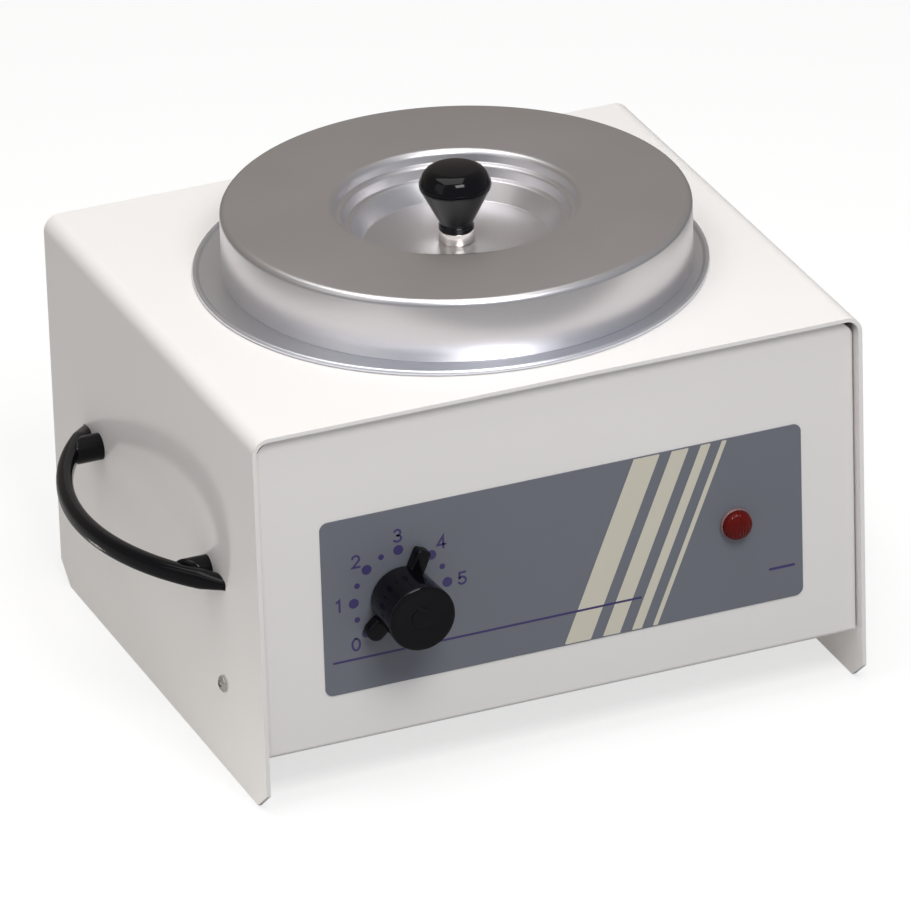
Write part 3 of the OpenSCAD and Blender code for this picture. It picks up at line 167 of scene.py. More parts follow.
FLOOR_SIZE, FLOOR_COLOUR, FLOOR_GLOW = 8.0, (0.40, 0.40, 0.396, 1), 0.66
floor_mesh = bpy.data.meshes.new("floor")
floor_corners = [(x * FLOOR_SIZE, y * FLOOR_SIZE, 0)
                 for x, y in ((-1, -1), (1, -1), (1, 1), (-1, 1))]
floor_mesh.from_pydata(floor_corners, [], [(0, 1, 2, 3)])
floor = bpy.data.objects.new("floor", floor_mesh)
bpy.context.collection.objects.link(floor)
table = bpy.data.materials.new("pale_table")
table.use_nodes = True
net = table.node_tree
net.nodes.clear()
lit = net.nodes.new("ShaderNodeBsdfDiffuse")
lit.inputs["Color"].default_value = FLOOR_COLOUR
lift = net.nodes.new("ShaderNodeEmission")
lift.inputs["Color"].default_value = (1, 1, 1, 1)
ray = net.nodes.new("ShaderNodeLightPath")
amount = net.nodes.new("ShaderNodeMath")
amount.operation = "MULTIPLY"
amount.inputs[1].default_value = FLOOR_GLOW
join = net.nodes.new("ShaderNodeAddShader")
out = net.nodes.new("ShaderNodeOutputMaterial")
net.links.new(ray.outputs["Is Camera Ray"], amount.inputs[0])
net.links.new(amount.outputs[0], lift.inputs["Strength"])
net.links.new(lit.outputs[0], join.inputs[0])
net.links.new(lift.outputs[0], join.inputs[1])
net.links.new(join.outputs[0], out.inputs[0])
floor_mesh.materials.append(table)
floor.visible_shadow = False
bpy.context.scene.view_settings.view_transform = "Standard"
print(len(bpy.data.lights), "lamps and the table are in place")

# %% [markdown]
# Most new pieces are made of grids of points, each worked out as one array, with quads
# between neighbours. Every row is a ring, and the rings themselves may close to a loop.
# Points that fall together at a pole or a seam are merged, so that each piece is a closed
# skin, and its faces are then turned outwards.

# %% Mesh helpers


def grid_faces(rows, columns, along=False):
    """Quads between neighbouring points of a grid of rings; along closes ring to ring."""
    number = np.arange(rows * columns).reshape(rows, columns)
    number = np.concatenate([number, number[:, :1]], axis=1)
    if along:
        number = np.concatenate([number, number[:1]], axis=0)
    return np.stack([number[:-1, :-1], number[:-1, 1:], number[1:, 1:], number[1:, :-1]],
                    axis=-1).reshape(-1, 4)


def skin(points, along=False, caps=False):
    """Points and faces of a grid of shape (rows, columns, 3), with flat end caps if asked."""
    rows, columns = points.shape[:2]
    faces = [tuple(f) for f in grid_faces(rows, columns, along).tolist()]
    if caps:
        faces.append(tuple(range(columns)))
        faces.append(tuple(range((rows - 1) * columns, rows * columns)))
    return points.reshape(-1, 3), faces


def corner_arc(before, at, after, radius, steps):
    """Points of the arc that rounds the corner at one point of a flat line."""
    a = (before - at) / np.linalg.norm(before - at)
    b = (after - at) / np.linalg.norm(after - at)
    half = math.acos(np.clip(a @ b, -1, 1)) / 2
    centre = at + (a + b) / np.linalg.norm(a + b) * radius / math.sin(half)
    start = at + a * radius / math.tan(half) - centre
    stop = at + b * radius / math.tan(half) - centre
    turn0 = math.atan2(start[1], start[0])
    turn = (math.atan2(stop[1], stop[0]) - turn0 + math.pi) % (2 * math.pi) - math.pi
    t = turn0 + turn * np.linspace(0, 1, steps + 1)
    return centre + radius * np.stack([np.cos(t), np.sin(t)], axis=1)


def rounded(points, radii, closed=False, steps=6):
    """A flat line of points whose corners are arcs; a radius of 0 keeps the corner sharp."""
    points = np.array(points, float)
    count = len(points)
    line = []
    for i in range(count):
        ends = not closed and i in (0, count - 1)
        if ends or radii[i] == 0:
            line.append(points[i][None])
        else:
            line.append(corner_arc(points[i - 1], points[i], points[(i + 1) % count],
                                   radii[i], steps))
    return np.concatenate(line)


def sheet_loop(line, thickness, edge=0.4):
    """The closed outline of a sheet that follows a flat line: the line moved to both sides
    by half the thickness, along the mean of its neighbouring normals, with rounded ends."""
    step = np.diff(line, axis=0)
    step /= np.linalg.norm(step, axis=1)[:, None]
    before = np.concatenate([step[:1], step])
    after = np.concatenate([step, step[-1:]])
    normal = np.stack([-(before + after)[:, 1], (before + after)[:, 0]], axis=1)
    normal /= np.linalg.norm(normal, axis=1)[:, None]
    reach = (normal * np.stack([-before[:, 1], before[:, 0]], axis=1)).sum(axis=1)
    shift = normal * (thickness / 2 / reach)[:, None]
    loop = np.concatenate([line + shift, (line - shift)[::-1]])
    radii = np.zeros(len(loop))
    radii[[0, len(line) - 1, len(line), -1]] = edge
    return rounded(loop, radii, closed=True, steps=3)


def turned(profile, centre, count=256):
    """Surface of revolution: each profile point (radius, height) becomes a level circle."""
    angle = np.linspace(0, 2 * np.pi, count, endpoint=False)
    r, z = profile[:, 0][:, None], profile[:, 1][:, None]
    ring = np.stack([r * np.cos(angle), r * np.sin(angle), z + 0 * angle], axis=-1)
    return ring + np.array(centre, float)


def facing_front(points, x, y, z):
    """Turns points whose third number stands out of the panel to the front, at one place."""
    return np.stack([points[..., 0] + x, y - points[..., 2], points[..., 1] + z], axis=-1)


def piece(name, body, parts, material, stands_for=(), sharp=35):
    """One object from several skins in millimetres, merged at seams and turned outwards."""
    points = np.concatenate([p for p, _ in parts]) / 1000
    faces, start = [], 0
    for p, f in parts:
        faces += [tuple(np.array(face) + start) for face in f]
        start += len(p)
    mesh = bpy.data.meshes.new(name)
    mesh.from_pydata(points.tolist(), [], [list(map(int, f)) for f in faces])
    finished(name, mesh, body, material, stands_for, sharp)


def finished(name, mesh, body, material, stands_for=(), sharp=35):
    """Merges doubles, turns faces outwards, smooths below the sharp angle, and mounts it."""
    work = bmesh.new()
    work.from_mesh(mesh)
    bmesh.ops.remove_doubles(work, verts=work.verts, dist=1e-6)
    bmesh.ops.dissolve_degenerate(work, edges=work.edges, dist=1e-7)
    bmesh.ops.recalc_face_normals(work, faces=work.faces)
    open_edges = sum(1 for e in work.edges if len(e.link_faces) != 2)
    work.to_mesh(mesh)
    work.free()
    mesh.polygons.foreach_set("use_smooth", [True] * len(mesh.polygons))
    mesh.set_sharp_from_angle(angle=math.radians(sharp))
    obj = bpy.data.objects.new(name, mesh)
    bpy.context.collection.objects.link(obj)
    mesh.materials.append(material)
    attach(obj, body)
    if stands_for:
        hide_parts(*stands_for)
    print(f"{name}: {len(mesh.polygons)} faces, {open_edges} open edges")
    return obj


# %% [markdown]
# Finishes. Each is one shader with a little life: a slow change of tone, a fine bump, and
# a change of roughness, all from noise on object coordinates, so they stay the same in
# every view. Colours are given as they look on screen and turned into linear light.

# %% Finish helpers


def linear(*rgb):
    """Screen values from 0 to 255 as linear light."""
    c = np.array(rgb) / 255
    return tuple(np.where(c <= 0.04045, c / 12.92, ((c + 0.055) / 1.055) ** 2.4)) + (1.0,)


class Finish:
    """A material with a Principled shader and short words for the nodes around it."""

    def __init__(self, name, colour, roughness, metallic=0.0):
        self.material = bpy.data.materials.new(name)
        self.material.use_nodes = True
        self.tree = self.material.node_tree
        self.shader = self.tree.nodes["Principled BSDF"]
        self.colour = colour
        self.roughness = roughness
        self.shader.inputs["Base Color"].default_value = colour
        self.shader.inputs["Roughness"].default_value = roughness
        self.shader.inputs["Metallic"].default_value = metallic

    def node(self, kind, **settings):
        """A new node with its settings."""
        made = self.tree.nodes.new(kind)
        for key, value in settings.items():
            setattr(made, key, value)
        return made

    def link(self, source, target):
        """Joins an output to an input."""
        self.tree.links.new(source, target)

    def place(self, centre=(0, 0, 0)):
        """Object coordinates counted from a centre, in metres."""
        coordinate = self.node("ShaderNodeTexCoord")
        mapping = self.node("ShaderNodeMapping")
        mapping.inputs["Location"].default_value = tuple(-c for c in centre)
        self.link(coordinate.outputs["Object"], mapping.inputs["Vector"])
        return mapping.outputs["Vector"]

    def noise(self, scale, detail=2.0, vector=None):
        """Smooth noise, from 0 to 1, with so many lumps in a metre."""
        cloud = self.node("ShaderNodeTexNoise")
        cloud.inputs["Scale"].default_value = scale
        cloud.inputs["Detail"].default_value = detail
        self.link(vector or self.place(), cloud.inputs["Vector"])
        return cloud.outputs["Fac"]

    def math(self, operation, first, second=0.0, third=0.0):
        """One sum on sockets or numbers."""
        step = self.node("ShaderNodeMath", operation=operation)
        for socket, value in zip(step.inputs, (first, second, third)):
            if isinstance(value, (int, float)):
                socket.default_value = value
            else:
                self.link(value, socket)
        return step.outputs[0]

    def blend(self, factor, first, second):
        """Mix of two colours by a factor."""
        mix = self.node("ShaderNodeMix", data_type="RGBA")
        self.link(factor, mix.inputs["Factor"])
        for socket, value in ((mix.inputs["A"], first), (mix.inputs["B"], second)):
            if isinstance(value, tuple):
                socket.default_value = value
            else:
                self.link(value, socket)
        return mix.outputs["Result"]

    def mottle(self, scale, amount, detail=2.0):
        """Changes the base colour slowly by noise, up to a share of its brightness."""
        dark = tuple(c * (1 - amount) for c in self.colour[:3]) + (1.0,)
        light = tuple(min(1.0, c * (1 + amount)) for c in self.colour[:3]) + (1.0,)
        tone = self.blend(self.noise(scale, detail), dark, light)
        self.link(tone, self.shader.inputs["Base Color"])
        return self

    def worn(self, scale, amount, detail=3.0):
        """Changes the roughness by noise, up and down by an amount."""
        low = self.math("MULTIPLY_ADD", self.noise(scale, detail), 2 * amount,
                        self.roughness - amount)
        self.link(low, self.shader.inputs["Roughness"])
        return self

    def bumpy(self, height, scale=None, distance=0.0001, strength=1.0, detail=2.0):
        """Lifts the surface by noise of a scale, or by a height socket, so many metres."""
        bump = self.node("ShaderNodeBump")
        bump.inputs["Strength"].default_value = strength
        bump.inputs["Distance"].default_value = distance
        self.link(height if height else self.noise(scale, detail), bump.inputs["Height"])
        self.link(bump.outputs["Normal"], self.shader.inputs["Normal"])
        return self

    def set(self, **inputs):
        """Sets constants on the shader's own sockets."""
        for key, value in inputs.items():
            self.shader.inputs[key.replace("_", " ")].default_value = value
        return self


# %% [markdown]
# The white powder coat of cover and chassis: warm white, half glossy, with the faint
# orange skin that powder leaves when it flows out in the oven.

# %% Powder coat
powder_coat = (Finish("powder_coat", linear(240, 237, 234), 0.42)
               .mottle(9, 0.012).worn(60, 0.04).bumpy(None, 900, distance=0.00002)
               .set(Specular_IOR_Level=0.5))

# %% [markdown]
# Spun aluminium of pot and lid. The turning tool leaves fine rings around the axis, so
# the bump and the roughness read the distance from the piece's own axis and the height:
# noise along one line, stretched around the circle.

# %% Spun aluminium
RING_SCALE, CLOUD_SCALE, HEIGHT_SHARE = 1400, 14, 1.7


def spun_metal(name, colour, roughness, ring_height, axis):
    """Metal with fine rings around an upright axis: noise of radius plus height."""
    metal = Finish(name, colour, roughness, metallic=1.0)
    at = metal.place(axis / 1000)
    split = metal.node("ShaderNodeSeparateXYZ")
    metal.link(at, split.inputs[0])
    x, y, z = split.outputs
    radius = metal.math("SQRT", metal.math("ADD", metal.math("MULTIPLY", x, x),
                                           metal.math("MULTIPLY", y, y)))
    along = metal.math("MULTIPLY_ADD", z, HEIGHT_SHARE, radius)
    line = metal.node("ShaderNodeCombineXYZ")
    metal.link(along, line.inputs[0])
    rings = metal.noise(RING_SCALE, 3.0, line.outputs[0])
    metal.bumpy(rings, distance=ring_height, strength=0.6)
    cloud = metal.noise(CLOUD_SCALE, 3.0)
    rough = metal.math("MULTIPLY_ADD", rings, 0.12,
                       metal.math("MULTIPLY_ADD", cloud, 0.08, roughness - 0.1))
    metal.link(rough, metal.shader.inputs["Roughness"])
    dark = tuple(c * 0.93 for c in colour[:3]) + (1.0,)
    metal.link(metal.blend(cloud, dark, colour), metal.shader.inputs["Base Color"])
    return metal


# Pot and lid are the same spun aluminium. The pot's base colour is lighter and bluer than the
# lid's, and that difference is a painted reflection: it stands in for the bright bluish light
# that the pot's rim flange picks up from the front.
lid_metal = spun_metal("lid_metal", linear(218, 216, 218), 0.34, 0.000012, LID_AXIS)
pot_metal_painted_reflection = spun_metal("pot_metal_painted_reflection", linear(230, 232, 238), 0.36, 0.000012, POT_AXIS)

# %% [markdown]
# Black glossy phenolic for knobs and handles, and the other finishes: the satin film of
# the faceplate, plated steel, brass, copper and the plastics inside.

# %% Other finishes
black_gloss = (Finish("black_gloss", linear(6, 5, 9), 0.10)
               .worn(120, 0.03).bumpy(None, 260, distance=0.00001)
               .set(Specular_IOR_Level=0.22))
black_satin = (Finish("black_satin", linear(26, 24, 28), 0.30)
               .worn(150, 0.05).bumpy(None, 500, distance=0.00001))
film_grey = (Finish("film_grey", linear(112, 115, 124), 0.46)
             .mottle(30, 0.02).bumpy(None, 2500, distance=0.000004))
print_cream = (Finish("print_cream", linear(212, 207, 190), 0.46)
               .mottle(40, 0.02).bumpy(None, 2500, distance=0.000004))
print_violet = Finish("print_violet", linear(62, 55, 104), 0.46).mottle(60, 0.04)
polished_steel = (Finish("polished_steel", linear(222, 218, 212), 0.10, metallic=1.0)
                  .worn(200, 0.03))
plated_steel = (Finish("plated_steel", linear(205, 203, 198), 0.26, metallic=1.0)
                .mottle(220, 0.05).worn(400, 0.08).bumpy(None, 1200, distance=0.00001))
well_steel = (Finish("well_steel", linear(168, 166, 162), 0.38, metallic=1.0)
              .mottle(25, 0.06).worn(90, 0.08))
brass = (Finish("brass", linear(196, 164, 96), 0.3, metallic=1.0)
         .mottle(180, 0.06).worn(300, 0.06))
copper = (Finish("copper", linear(190, 120, 84), 0.3, metallic=1.0)
          .mottle(120, 0.08).worn(300, 0.06))
brown_plastic = (Finish("brown_plastic", linear(70, 48, 36), 0.4)
                 .mottle(90, 0.06).bumpy(None, 900, distance=0.00001))
ivory_plastic = (Finish("ivory_plastic", linear(222, 214, 192), 0.4)
                 .mottle(70, 0.03).bumpy(None, 700, distance=0.00001))
lamp_white = (Finish("lamp_white", linear(132, 104, 104), 0.3)
              .mottle(300, 0.03).worn(300, 0.05))
lens_red = (Finish("lens_red", linear(94, 13, 8), 0.08)
            .mottle(350, 0.15).set(Specular_IOR_Level=0.15, Coat_Weight=0.05, Coat_Roughness=0.03,
                                   Subsurface_Weight=0.1, Subsurface_Scale=0.002))
fibre_white = (Finish("fibre_white", linear(226, 222, 208), 0.9)
               .mottle(300, 0.08).bumpy(None, 1500, distance=0.0003))
band_steel = (Finish("band_steel", linear(150, 146, 138), 0.42, metallic=1.0)
              .mottle(40, 0.12).worn(80, 0.1))
sleeve_brown = Finish("sleeve_brown", linear(96, 60, 40), 0.5).mottle(500, 0.05)
sleeve_black = Finish("sleeve_black", linear(30, 30, 32), 0.5).mottle(500, 0.05)
sleeve_blue = Finish("sleeve_blue", linear(56, 92, 168), 0.5).mottle(500, 0.05)
sleeve_green = Finish("sleeve_green", linear(150, 186, 60), 0.5).mottle(500, 0.05)

SLOT_FINISH = {
    "painted_white": powder_coat, "faceplate_grey": film_grey, "spun_aluminium": pot_metal_painted_reflection,
    "polished_steel": polished_steel, "black_gloss": black_gloss,
    "plated_steel": plated_steel, "brass": brass, "copper": copper,
    "phenolic_brown": brown_plastic, "lens_red": lens_red, "lamp_white": lamp_white,
    "band_steel": band_steel, "insulation_white": fibre_white,
    "block_ivory": ivory_plastic, "wire_brown": sleeve_brown, "wire_black": sleeve_black,
    "wire_blue": sleeve_blue, "wire_green": sleeve_green,
}
for entry in frame["record"]["subparts"]:
    mesh = nodes[entry["node"]].data
    mesh.materials.clear()
    mesh.materials.append(SLOT_FINISH[entry["material_slot"]].material)
print(len(nodes), "nodes dressed,", len(SLOT_FINISH), "finishes")

# %% [markdown]
# Cover and chassis are folded sheets, the well is a drawn one, and the inlet is a moulding.
# Their solids already have the true forms, so each is copied, its loose triangles are merged
# and joined into flat faces, and a small bevel takes the razor edge off, as tumbling and
# paint do on the real piece.

# %% Sheets and the inlet


def softened(node, name, body, material, edge, keep_angle=30):
    """A copy of a node with its triangles joined into faces and its edges broken."""
    mesh = nodes[node].data.copy()
    mesh.name = name
    mesh.materials.clear()
    work = bmesh.new()
    work.from_mesh(mesh)
    bmesh.ops.remove_doubles(work, verts=work.verts, dist=1e-6)
    bmesh.ops.dissolve_limit(work, angle_limit=math.radians(0.5), verts=work.verts,
                             edges=work.edges)
    work.to_mesh(mesh)
    work.free()
    obj = finished(name, mesh, body, material, (node,), sharp=keep_angle)
    bevel = obj.modifiers.new("broken_edge", "BEVEL")
    bevel.width = edge / 1000
    bevel.segments = 3
    bevel.limit_method = "ANGLE"
    bevel.angle_limit = math.radians(keep_angle)
    bevel.harden_normals = True


softened("cover", "cover_sheet", "housing", powder_coat.material, 0.5)
softened("chassis", "chassis_sheet", "housing", powder_coat.material, 0.3)
softened("inlet_body", "inlet_moulding", "housing", black_satin.material, 0.25)
softened("heating_well", "well_shell", "housing", well_steel.material, 0.15)

# %% [markdown]
# The pot hangs from its rim. Its section is one line, rounded at the corners, given half
# the sheet's thickness on both sides and turned around the axis. The rim ends in a roll.

# %% Pot
POT_SHEET, POT_R, RIM_ROLL = 1.5, 100.0, 1.3
POT_CORNER, RIM_FILLET, ROLL_INSIDE, ROLL_OUTSIDE = 12.0, 4.0, 3.2, 2.2
RIM_R = (POT_HIGH - POT_LOW)[0] / 2


def pot_section():
    """The pot's wall from the axis up to the rolled edge, as a closed outline."""
    half = POT_SHEET / 2
    line = rounded([(0.0, POT_LOW[2] + half), (POT_R - half, POT_LOW[2] + half),
                    (POT_R - half, HEIGHT + half), (RIM_R - RIM_ROLL, HEIGHT + half)],
                   [0, POT_CORNER - half, RIM_FILLET - half, 0], steps=10)
    step = np.diff(line, axis=0)
    step /= np.linalg.norm(step, axis=1)[:, None]
    side = np.stack([-step[:, 1], step[:, 0]], axis=1)
    side = (np.concatenate([side[:1], side]) + np.concatenate([side, side[-1:]])) / 2
    side /= np.linalg.norm(side, axis=1)[:, None]
    inner, outer = line + side * half, line - side * half
    turn = np.radians(np.linspace(168, -172, 22))
    roll = np.stack([RIM_R - RIM_ROLL + RIM_ROLL * np.cos(turn),
                     HEIGHT + RIM_ROLL + RIM_ROLL * np.sin(turn)], axis=1)
    inner, outer = inner[:-1], outer[:-1]
    return np.concatenate([inner, [(RIM_R - ROLL_INSIDE, HEIGHT + POT_SHEET)], roll[2:-3],
                           [(RIM_R - ROLL_OUTSIDE, HEIGHT)], outer[::-1]])


piece("pot_shell", "pot",
      [skin(turned(pot_section(), POT_AXIS))], pot_metal_painted_reflection.material, ("pot",))

# %% [markdown]
# The lid: a flat ring with a skirt outside and a stepped recess inside. The steps are
# where the spinning tool pressed the sheet over its former, so each has a soft edge.

# %% Lid
LID_R = (LID_HIGH - LID_LOW)[0] / 2
LID_SHEET = 1.2
LID_TOP = LID_HIGH[2]
RECESS_R, RECESS_DEPTH, FLOOR_R = 57.5, 19.8, 43.5
LID_BEND, RECESS_BEND = 2.7, 2.8
SCREW_HOLE_R = 2.6


def lid_line():
    """The middle line of the lid's sheet, from the skirt's edge to the screw hole."""
    top = LID_TOP - LID_SHEET / 2
    wall = LID_R - LID_SHEET / 2
    bottom = top - RECESS_DEPTH
    step = (RECESS_R - FLOOR_R) * 0.3
    drop = RECESS_DEPTH * 0.28
    lean = 1.5
    inner_bend, outer_bend, floor_bend = 0.9, 1.2, 1.5
    return rounded([
        (wall, LID_LOW[2]), (wall, top), (RECESS_R, top), (RECESS_R - lean, top - drop),
        (RECESS_R - step, top - drop), (RECESS_R - step - lean, top - 2 * drop),
        (RECESS_R - 2 * step, top - 2 * drop), (FLOOR_R, bottom), (SCREW_HOLE_R, bottom)],
        [0, LID_BEND, RECESS_BEND, inner_bend, outer_bend, inner_bend, outer_bend,
         floor_bend, 0], steps=8)


piece("lid_shell", "lid",
      [skin(turned(sheet_loop(lid_line(), LID_SHEET), LID_AXIS), along=True)],
      lid_metal.material, ("lid",))

# %% [markdown]
# The lid's knob is a black moulding, narrow at the foot and domed on top, on a polished
# cone. Both are turned forms.

# %% Lid knob and ferrule
KNOB_LOW, KNOB_HIGH = node_box("lid_knob")
FERRULE_LOW, FERRULE_HIGH = node_box("lid_ferrule")
KNOB_R = (KNOB_HIGH - KNOB_LOW)[0] / 2
KNOB_SHOULDER, KNOB_FOOT_R = 22.6, 8.3
INSERT_BORE_R, INSERT_BORE_DEPTH = 4.3, 12.1
FERRULE_R, FERRULE_TOP_R = 8.6, 7.9


def lid_knob_section():
    """Foot with a small lip, straight taper, rounded shoulder, dome; then the bore below."""
    low, tall = KNOB_LOW[2], (KNOB_HIGH - KNOB_LOW)[2]
    outer = rounded([(INSERT_BORE_R, low), (KNOB_FOOT_R, low), (KNOB_FOOT_R, low + 2.8),
                     (KNOB_FOOT_R - 0.6, low + 3.6), (KNOB_R + 0.9, low + KNOB_SHOULDER),
                     (KNOB_R - 2.5, low + tall - 1.0), (0.0, low + tall + 0.6)],
                    [0, 0.7, 0.5, 1.0, 4.6, 7.0, 0], steps=12)
    outer[-1] = (0.0, low + tall)
    bore = np.array([(0.0, low + INSERT_BORE_DEPTH), (INSERT_BORE_R, low + INSERT_BORE_DEPTH)])
    return np.concatenate([bore, outer])


ferrule_profile = rounded([(SCREW_HOLE_R, FERRULE_LOW[2]), (FERRULE_R, FERRULE_LOW[2]),
                           (FERRULE_TOP_R, FERRULE_HIGH[2]), (SCREW_HOLE_R, FERRULE_HIGH[2])],
                          [0, 0.4, 0.4, 0], closed=True, steps=4)
piece("ferrule_cone", "lid",
      [skin(turned(ferrule_profile, LID_AXIS, 96), along=True)],
      polished_steel.material, ("lid_ferrule",))
piece("lid_knob_moulding", "lid",
      [skin(turned(lid_knob_section(), LID_AXIS, 128))],
      black_gloss.material, ("lid_knob",))

# %% [markdown]
# The control knob: a turned cap, a little wider at its front, whose face is a shallow dish
# around a small flat disc. Behind it there is room for the nut, and a hub with the bore for
# the shaft. A finger lug and a pointer stand out at its base.

# %% Control knob
FACE_LOW, FACE_HIGH = node_box("faceplate")
SHAFT_LOW, SHAFT_HIGH = node_box("thermostat_shaft")
DIAL_X, _, DIAL_Z = (SHAFT_LOW + SHAFT_HIGH) / 2
KNOB_FRONT = node_box("control_knob")[0][1]
KNOB_LEN = 26.0
DIAL_Y = KNOB_FRONT + KNOB_LEN
BASE_R, FRONT_R, FRONT_RIM_R, HUB_R, HUB_BACK = 15.0, 16.0, 13.2, 6.0, 3.3
NUT_ROOM_R, NUT_ROOM_DEPTH, LUG_START, LUG_LOW = 11.6, 6.0, 12.2, 0.35
DISH_DEPTH, DISH_SPHERE_R = 1.1, 77.4
SHAFT_BORE_R, SHAFT_BORE_DEPTH = 3.06, 17.0
DISC_R, DISC_DROP = 5.3, 0.66
POINTER_ANGLE, LUG_ANGLE = 221.9, 66.0


def control_knob_section():
    """Radius and distance from the knob's back: bore, hub, nut room, wall, rim, dish
    (a sphere of radius R whose depth at radius r is the dish depth less r*r / 2R), disc."""
    r = np.linspace(12.6, 5.4, 12)
    hollow = np.stack([r, KNOB_LEN - DISH_DEPTH + r * r / (2 * DISH_SPHERE_R)], axis=1)
    wall = rounded([(NUT_ROOM_R, NUT_ROOM_DEPTH), (NUT_ROOM_R, 0.0), (BASE_R, 0.0),
                    (FRONT_R, KNOB_LEN), (FRONT_RIM_R, KNOB_LEN)],
                   [0, 0.3, 0.5, 1.3, 0], steps=8)
    hub = np.array([(0.0, SHAFT_BORE_DEPTH), (SHAFT_BORE_R, SHAFT_BORE_DEPTH),
                    (SHAFT_BORE_R, HUB_BACK), (HUB_R, HUB_BACK), (HUB_R, NUT_ROOM_DEPTH)])
    disc = rounded([(DISC_R, hollow[-1, 1] - 0.05), (DISC_R, KNOB_LEN - DISC_DROP),
                    (0.0, KNOB_LEN - DISC_DROP)], [0, 0.15, 0], steps=4)
    return np.concatenate([hub, wall, hollow, disc])


def plate_ring(centre, size, corner, inset):
    """A rectangle with round corners as a ring of flat points, drawn in by an inset."""
    w, h = size[0] / 2 - inset, size[1] / 2 - inset
    r = min(max(corner - inset, 0.02), w - 1e-3, h - 1e-3)
    box = [(w, h), (-w, h), (-w, -h), (w, -h)]
    return rounded(box, [r] * 4, closed=True, steps=7) + np.array(centre)


def tablet(centre, size, corner, low, high, edge, turn):
    """A raised plate with round corners and a round upper edge, turned in its own plane."""
    t = np.linspace(0, np.pi / 2, 6)
    levels = [(low, 0.0)] + list(zip(high - edge + edge * np.sin(t), edge - edge * np.cos(t)))
    spin = np.array([[math.cos(turn), math.sin(turn)], [-math.sin(turn), math.cos(turn)]])
    rings = []
    for level, inset in levels:
        ring = plate_ring(centre, size, corner, inset) @ spin
        rings.append(np.column_stack([ring, np.full(len(ring), level)]))
    return np.stack(rings)


def lug_block(reach, width, corner, angle, high, edge):
    """A lug from inside the knob's wall to its reach, as a tablet that points one way."""
    return tablet(((LUG_START + reach) / 2, 0), (reach - LUG_START, width), corner, LUG_LOW,
                  high, edge, math.radians(angle))


def on_dial(points):
    """Places points that are counted from the knob's back along its axis."""
    return facing_front(points, DIAL_X, DIAL_Y, DIAL_Z)


knob_body = on_dial(turned(control_knob_section(), (0, 0, 0), 160))
pointer = on_dial(lug_block(reach=24.0, width=8.8, corner=4.3, angle=POINTER_ANGLE,
                            high=6.2, edge=1.6))
lug = on_dial(lug_block(reach=25.0, width=7.0, corner=1.6, angle=LUG_ANGLE,
                        high=6.3, edge=1.2))
piece("control_knob_moulding", "knob",
      [skin(knob_body), skin(pointer, caps=True), skin(lug, caps=True)],
      black_gloss.material, ("control_knob",))

# %% [markdown]
# The signal lamp: a slim pale bezel and a domed red lens with upright ribs. The ribs are a
# cosine across the lens that dies out towards its rim.

# %% Signal lamp
BEZEL_LOW, BEZEL_HIGH = node_box("lamp_bezel")
LENS_LOW, LENS_HIGH = node_box("lamp_lens")
LAMP_X, _, LAMP_Z = (BEZEL_LOW + BEZEL_HIGH) / 2
LAMP_Y = FACE_LOW[1]
LENS_R, LENS_OUT = (LENS_HIGH - LENS_LOW)[0] / 2, LAMP_Y - LENS_LOW[1]
LENS_EDGE, RIB_DEPTH = 3.0, 0.30
BEZEL_R, BEZEL_BORE_R, STEM_R, STEM_LEN = 7.8, 7.1, 6.0, 17.9


def lens_surface(rings=28, around=144, ribs=9):
    """Dome of the lens over its rim, as rings from the rim to the middle. The height is
    edge + rise * sqrt(1 - q*q), with q the radius over the rim's, less the ribs' grooves."""
    q = np.concatenate([[1.0], np.sin(np.linspace(np.pi / 2, 0, rings))])[:, None]
    angle = np.linspace(0, 2 * np.pi, around, endpoint=False)
    x, z = LENS_R * q * np.cos(angle), LENS_R * q * np.sin(angle)
    rise = LENS_OUT - LENS_EDGE
    dome = LENS_EDGE + rise * np.sqrt(np.clip(1 - q * q, 0, 1))
    cuts = 0.5 - 0.5 * np.cos(2 * np.pi * ribs * (x / (2 * LENS_R) + 0.5))
    dome = dome - RIB_DEPTH * cuts * np.clip((1 - q) * 5, 0, 1)
    dome[0] = LENS_EDGE / 2
    return np.stack([x, z, dome], axis=-1)


bezel_profile = rounded([(0.0, 0.0), (BEZEL_R, 0.0), (BEZEL_R, 1.6), (BEZEL_BORE_R, 1.9),
                         (BEZEL_BORE_R, 1.5), (0.0, 1.5)], [0, 0.2, 0.5, 0.2, 0.1, 0], steps=5)
lamp_stem = np.array([(0.0, -STEM_LEN), (STEM_R - 0.4, -STEM_LEN), (STEM_R, 0.4 - STEM_LEN),
                      (STEM_R, 0.2), (0.0, 0.2)])


def on_lamp(points):
    """Places points that are counted from the faceplate at the lamp."""
    return facing_front(points, LAMP_X, LAMP_Y, LAMP_Z)


piece("lamp_bezel_ring", "housing",
      [skin(on_lamp(turned(bezel_profile, (0, 0, 0), 96))),
       skin(on_lamp(turned(lamp_stem, (0, 0, 0), 96)))],
      lamp_white.material, ("lamp_bezel",))
piece("lamp_lens_dome", "housing",
      [skin(on_lamp(lens_surface()), caps=True)], lens_red.material, ("lamp_lens",))

# %% [markdown]
# Each handle is a bow: a superellipse section swept along an arc of a circle, drawn thinner
# towards both tips and cut off at the cover's side. A round boss behind each end takes the
# screw. The left handle is the mirror image of the right one.

# %% Handles
HANDLE_LOW, HANDLE_HIGH = node_box("handle_right")
HANDLE_Z = (HANDLE_LOW + HANDLE_HIGH)[2] / 2
HALF_LEN = (HANDLE_HIGH - HANDLE_LOW)[1] / 2
WALL_X, REACH = HANDLE_LOW[0], (HANDLE_HIGH - HANDLE_LOW)[0]
ARC_R = (HALF_LEN ** 2 + REACH ** 2) / (2 * REACH)
ARC_X = WALL_X + REACH - ARC_R
BAR_T, BAR_H, BOSS_R, BOSS_Y = 8.0, 9.5, 6.5, 70.0
TAPER_START, TAPER, BOSS_SINK = 79.0, 0.55, 0.72


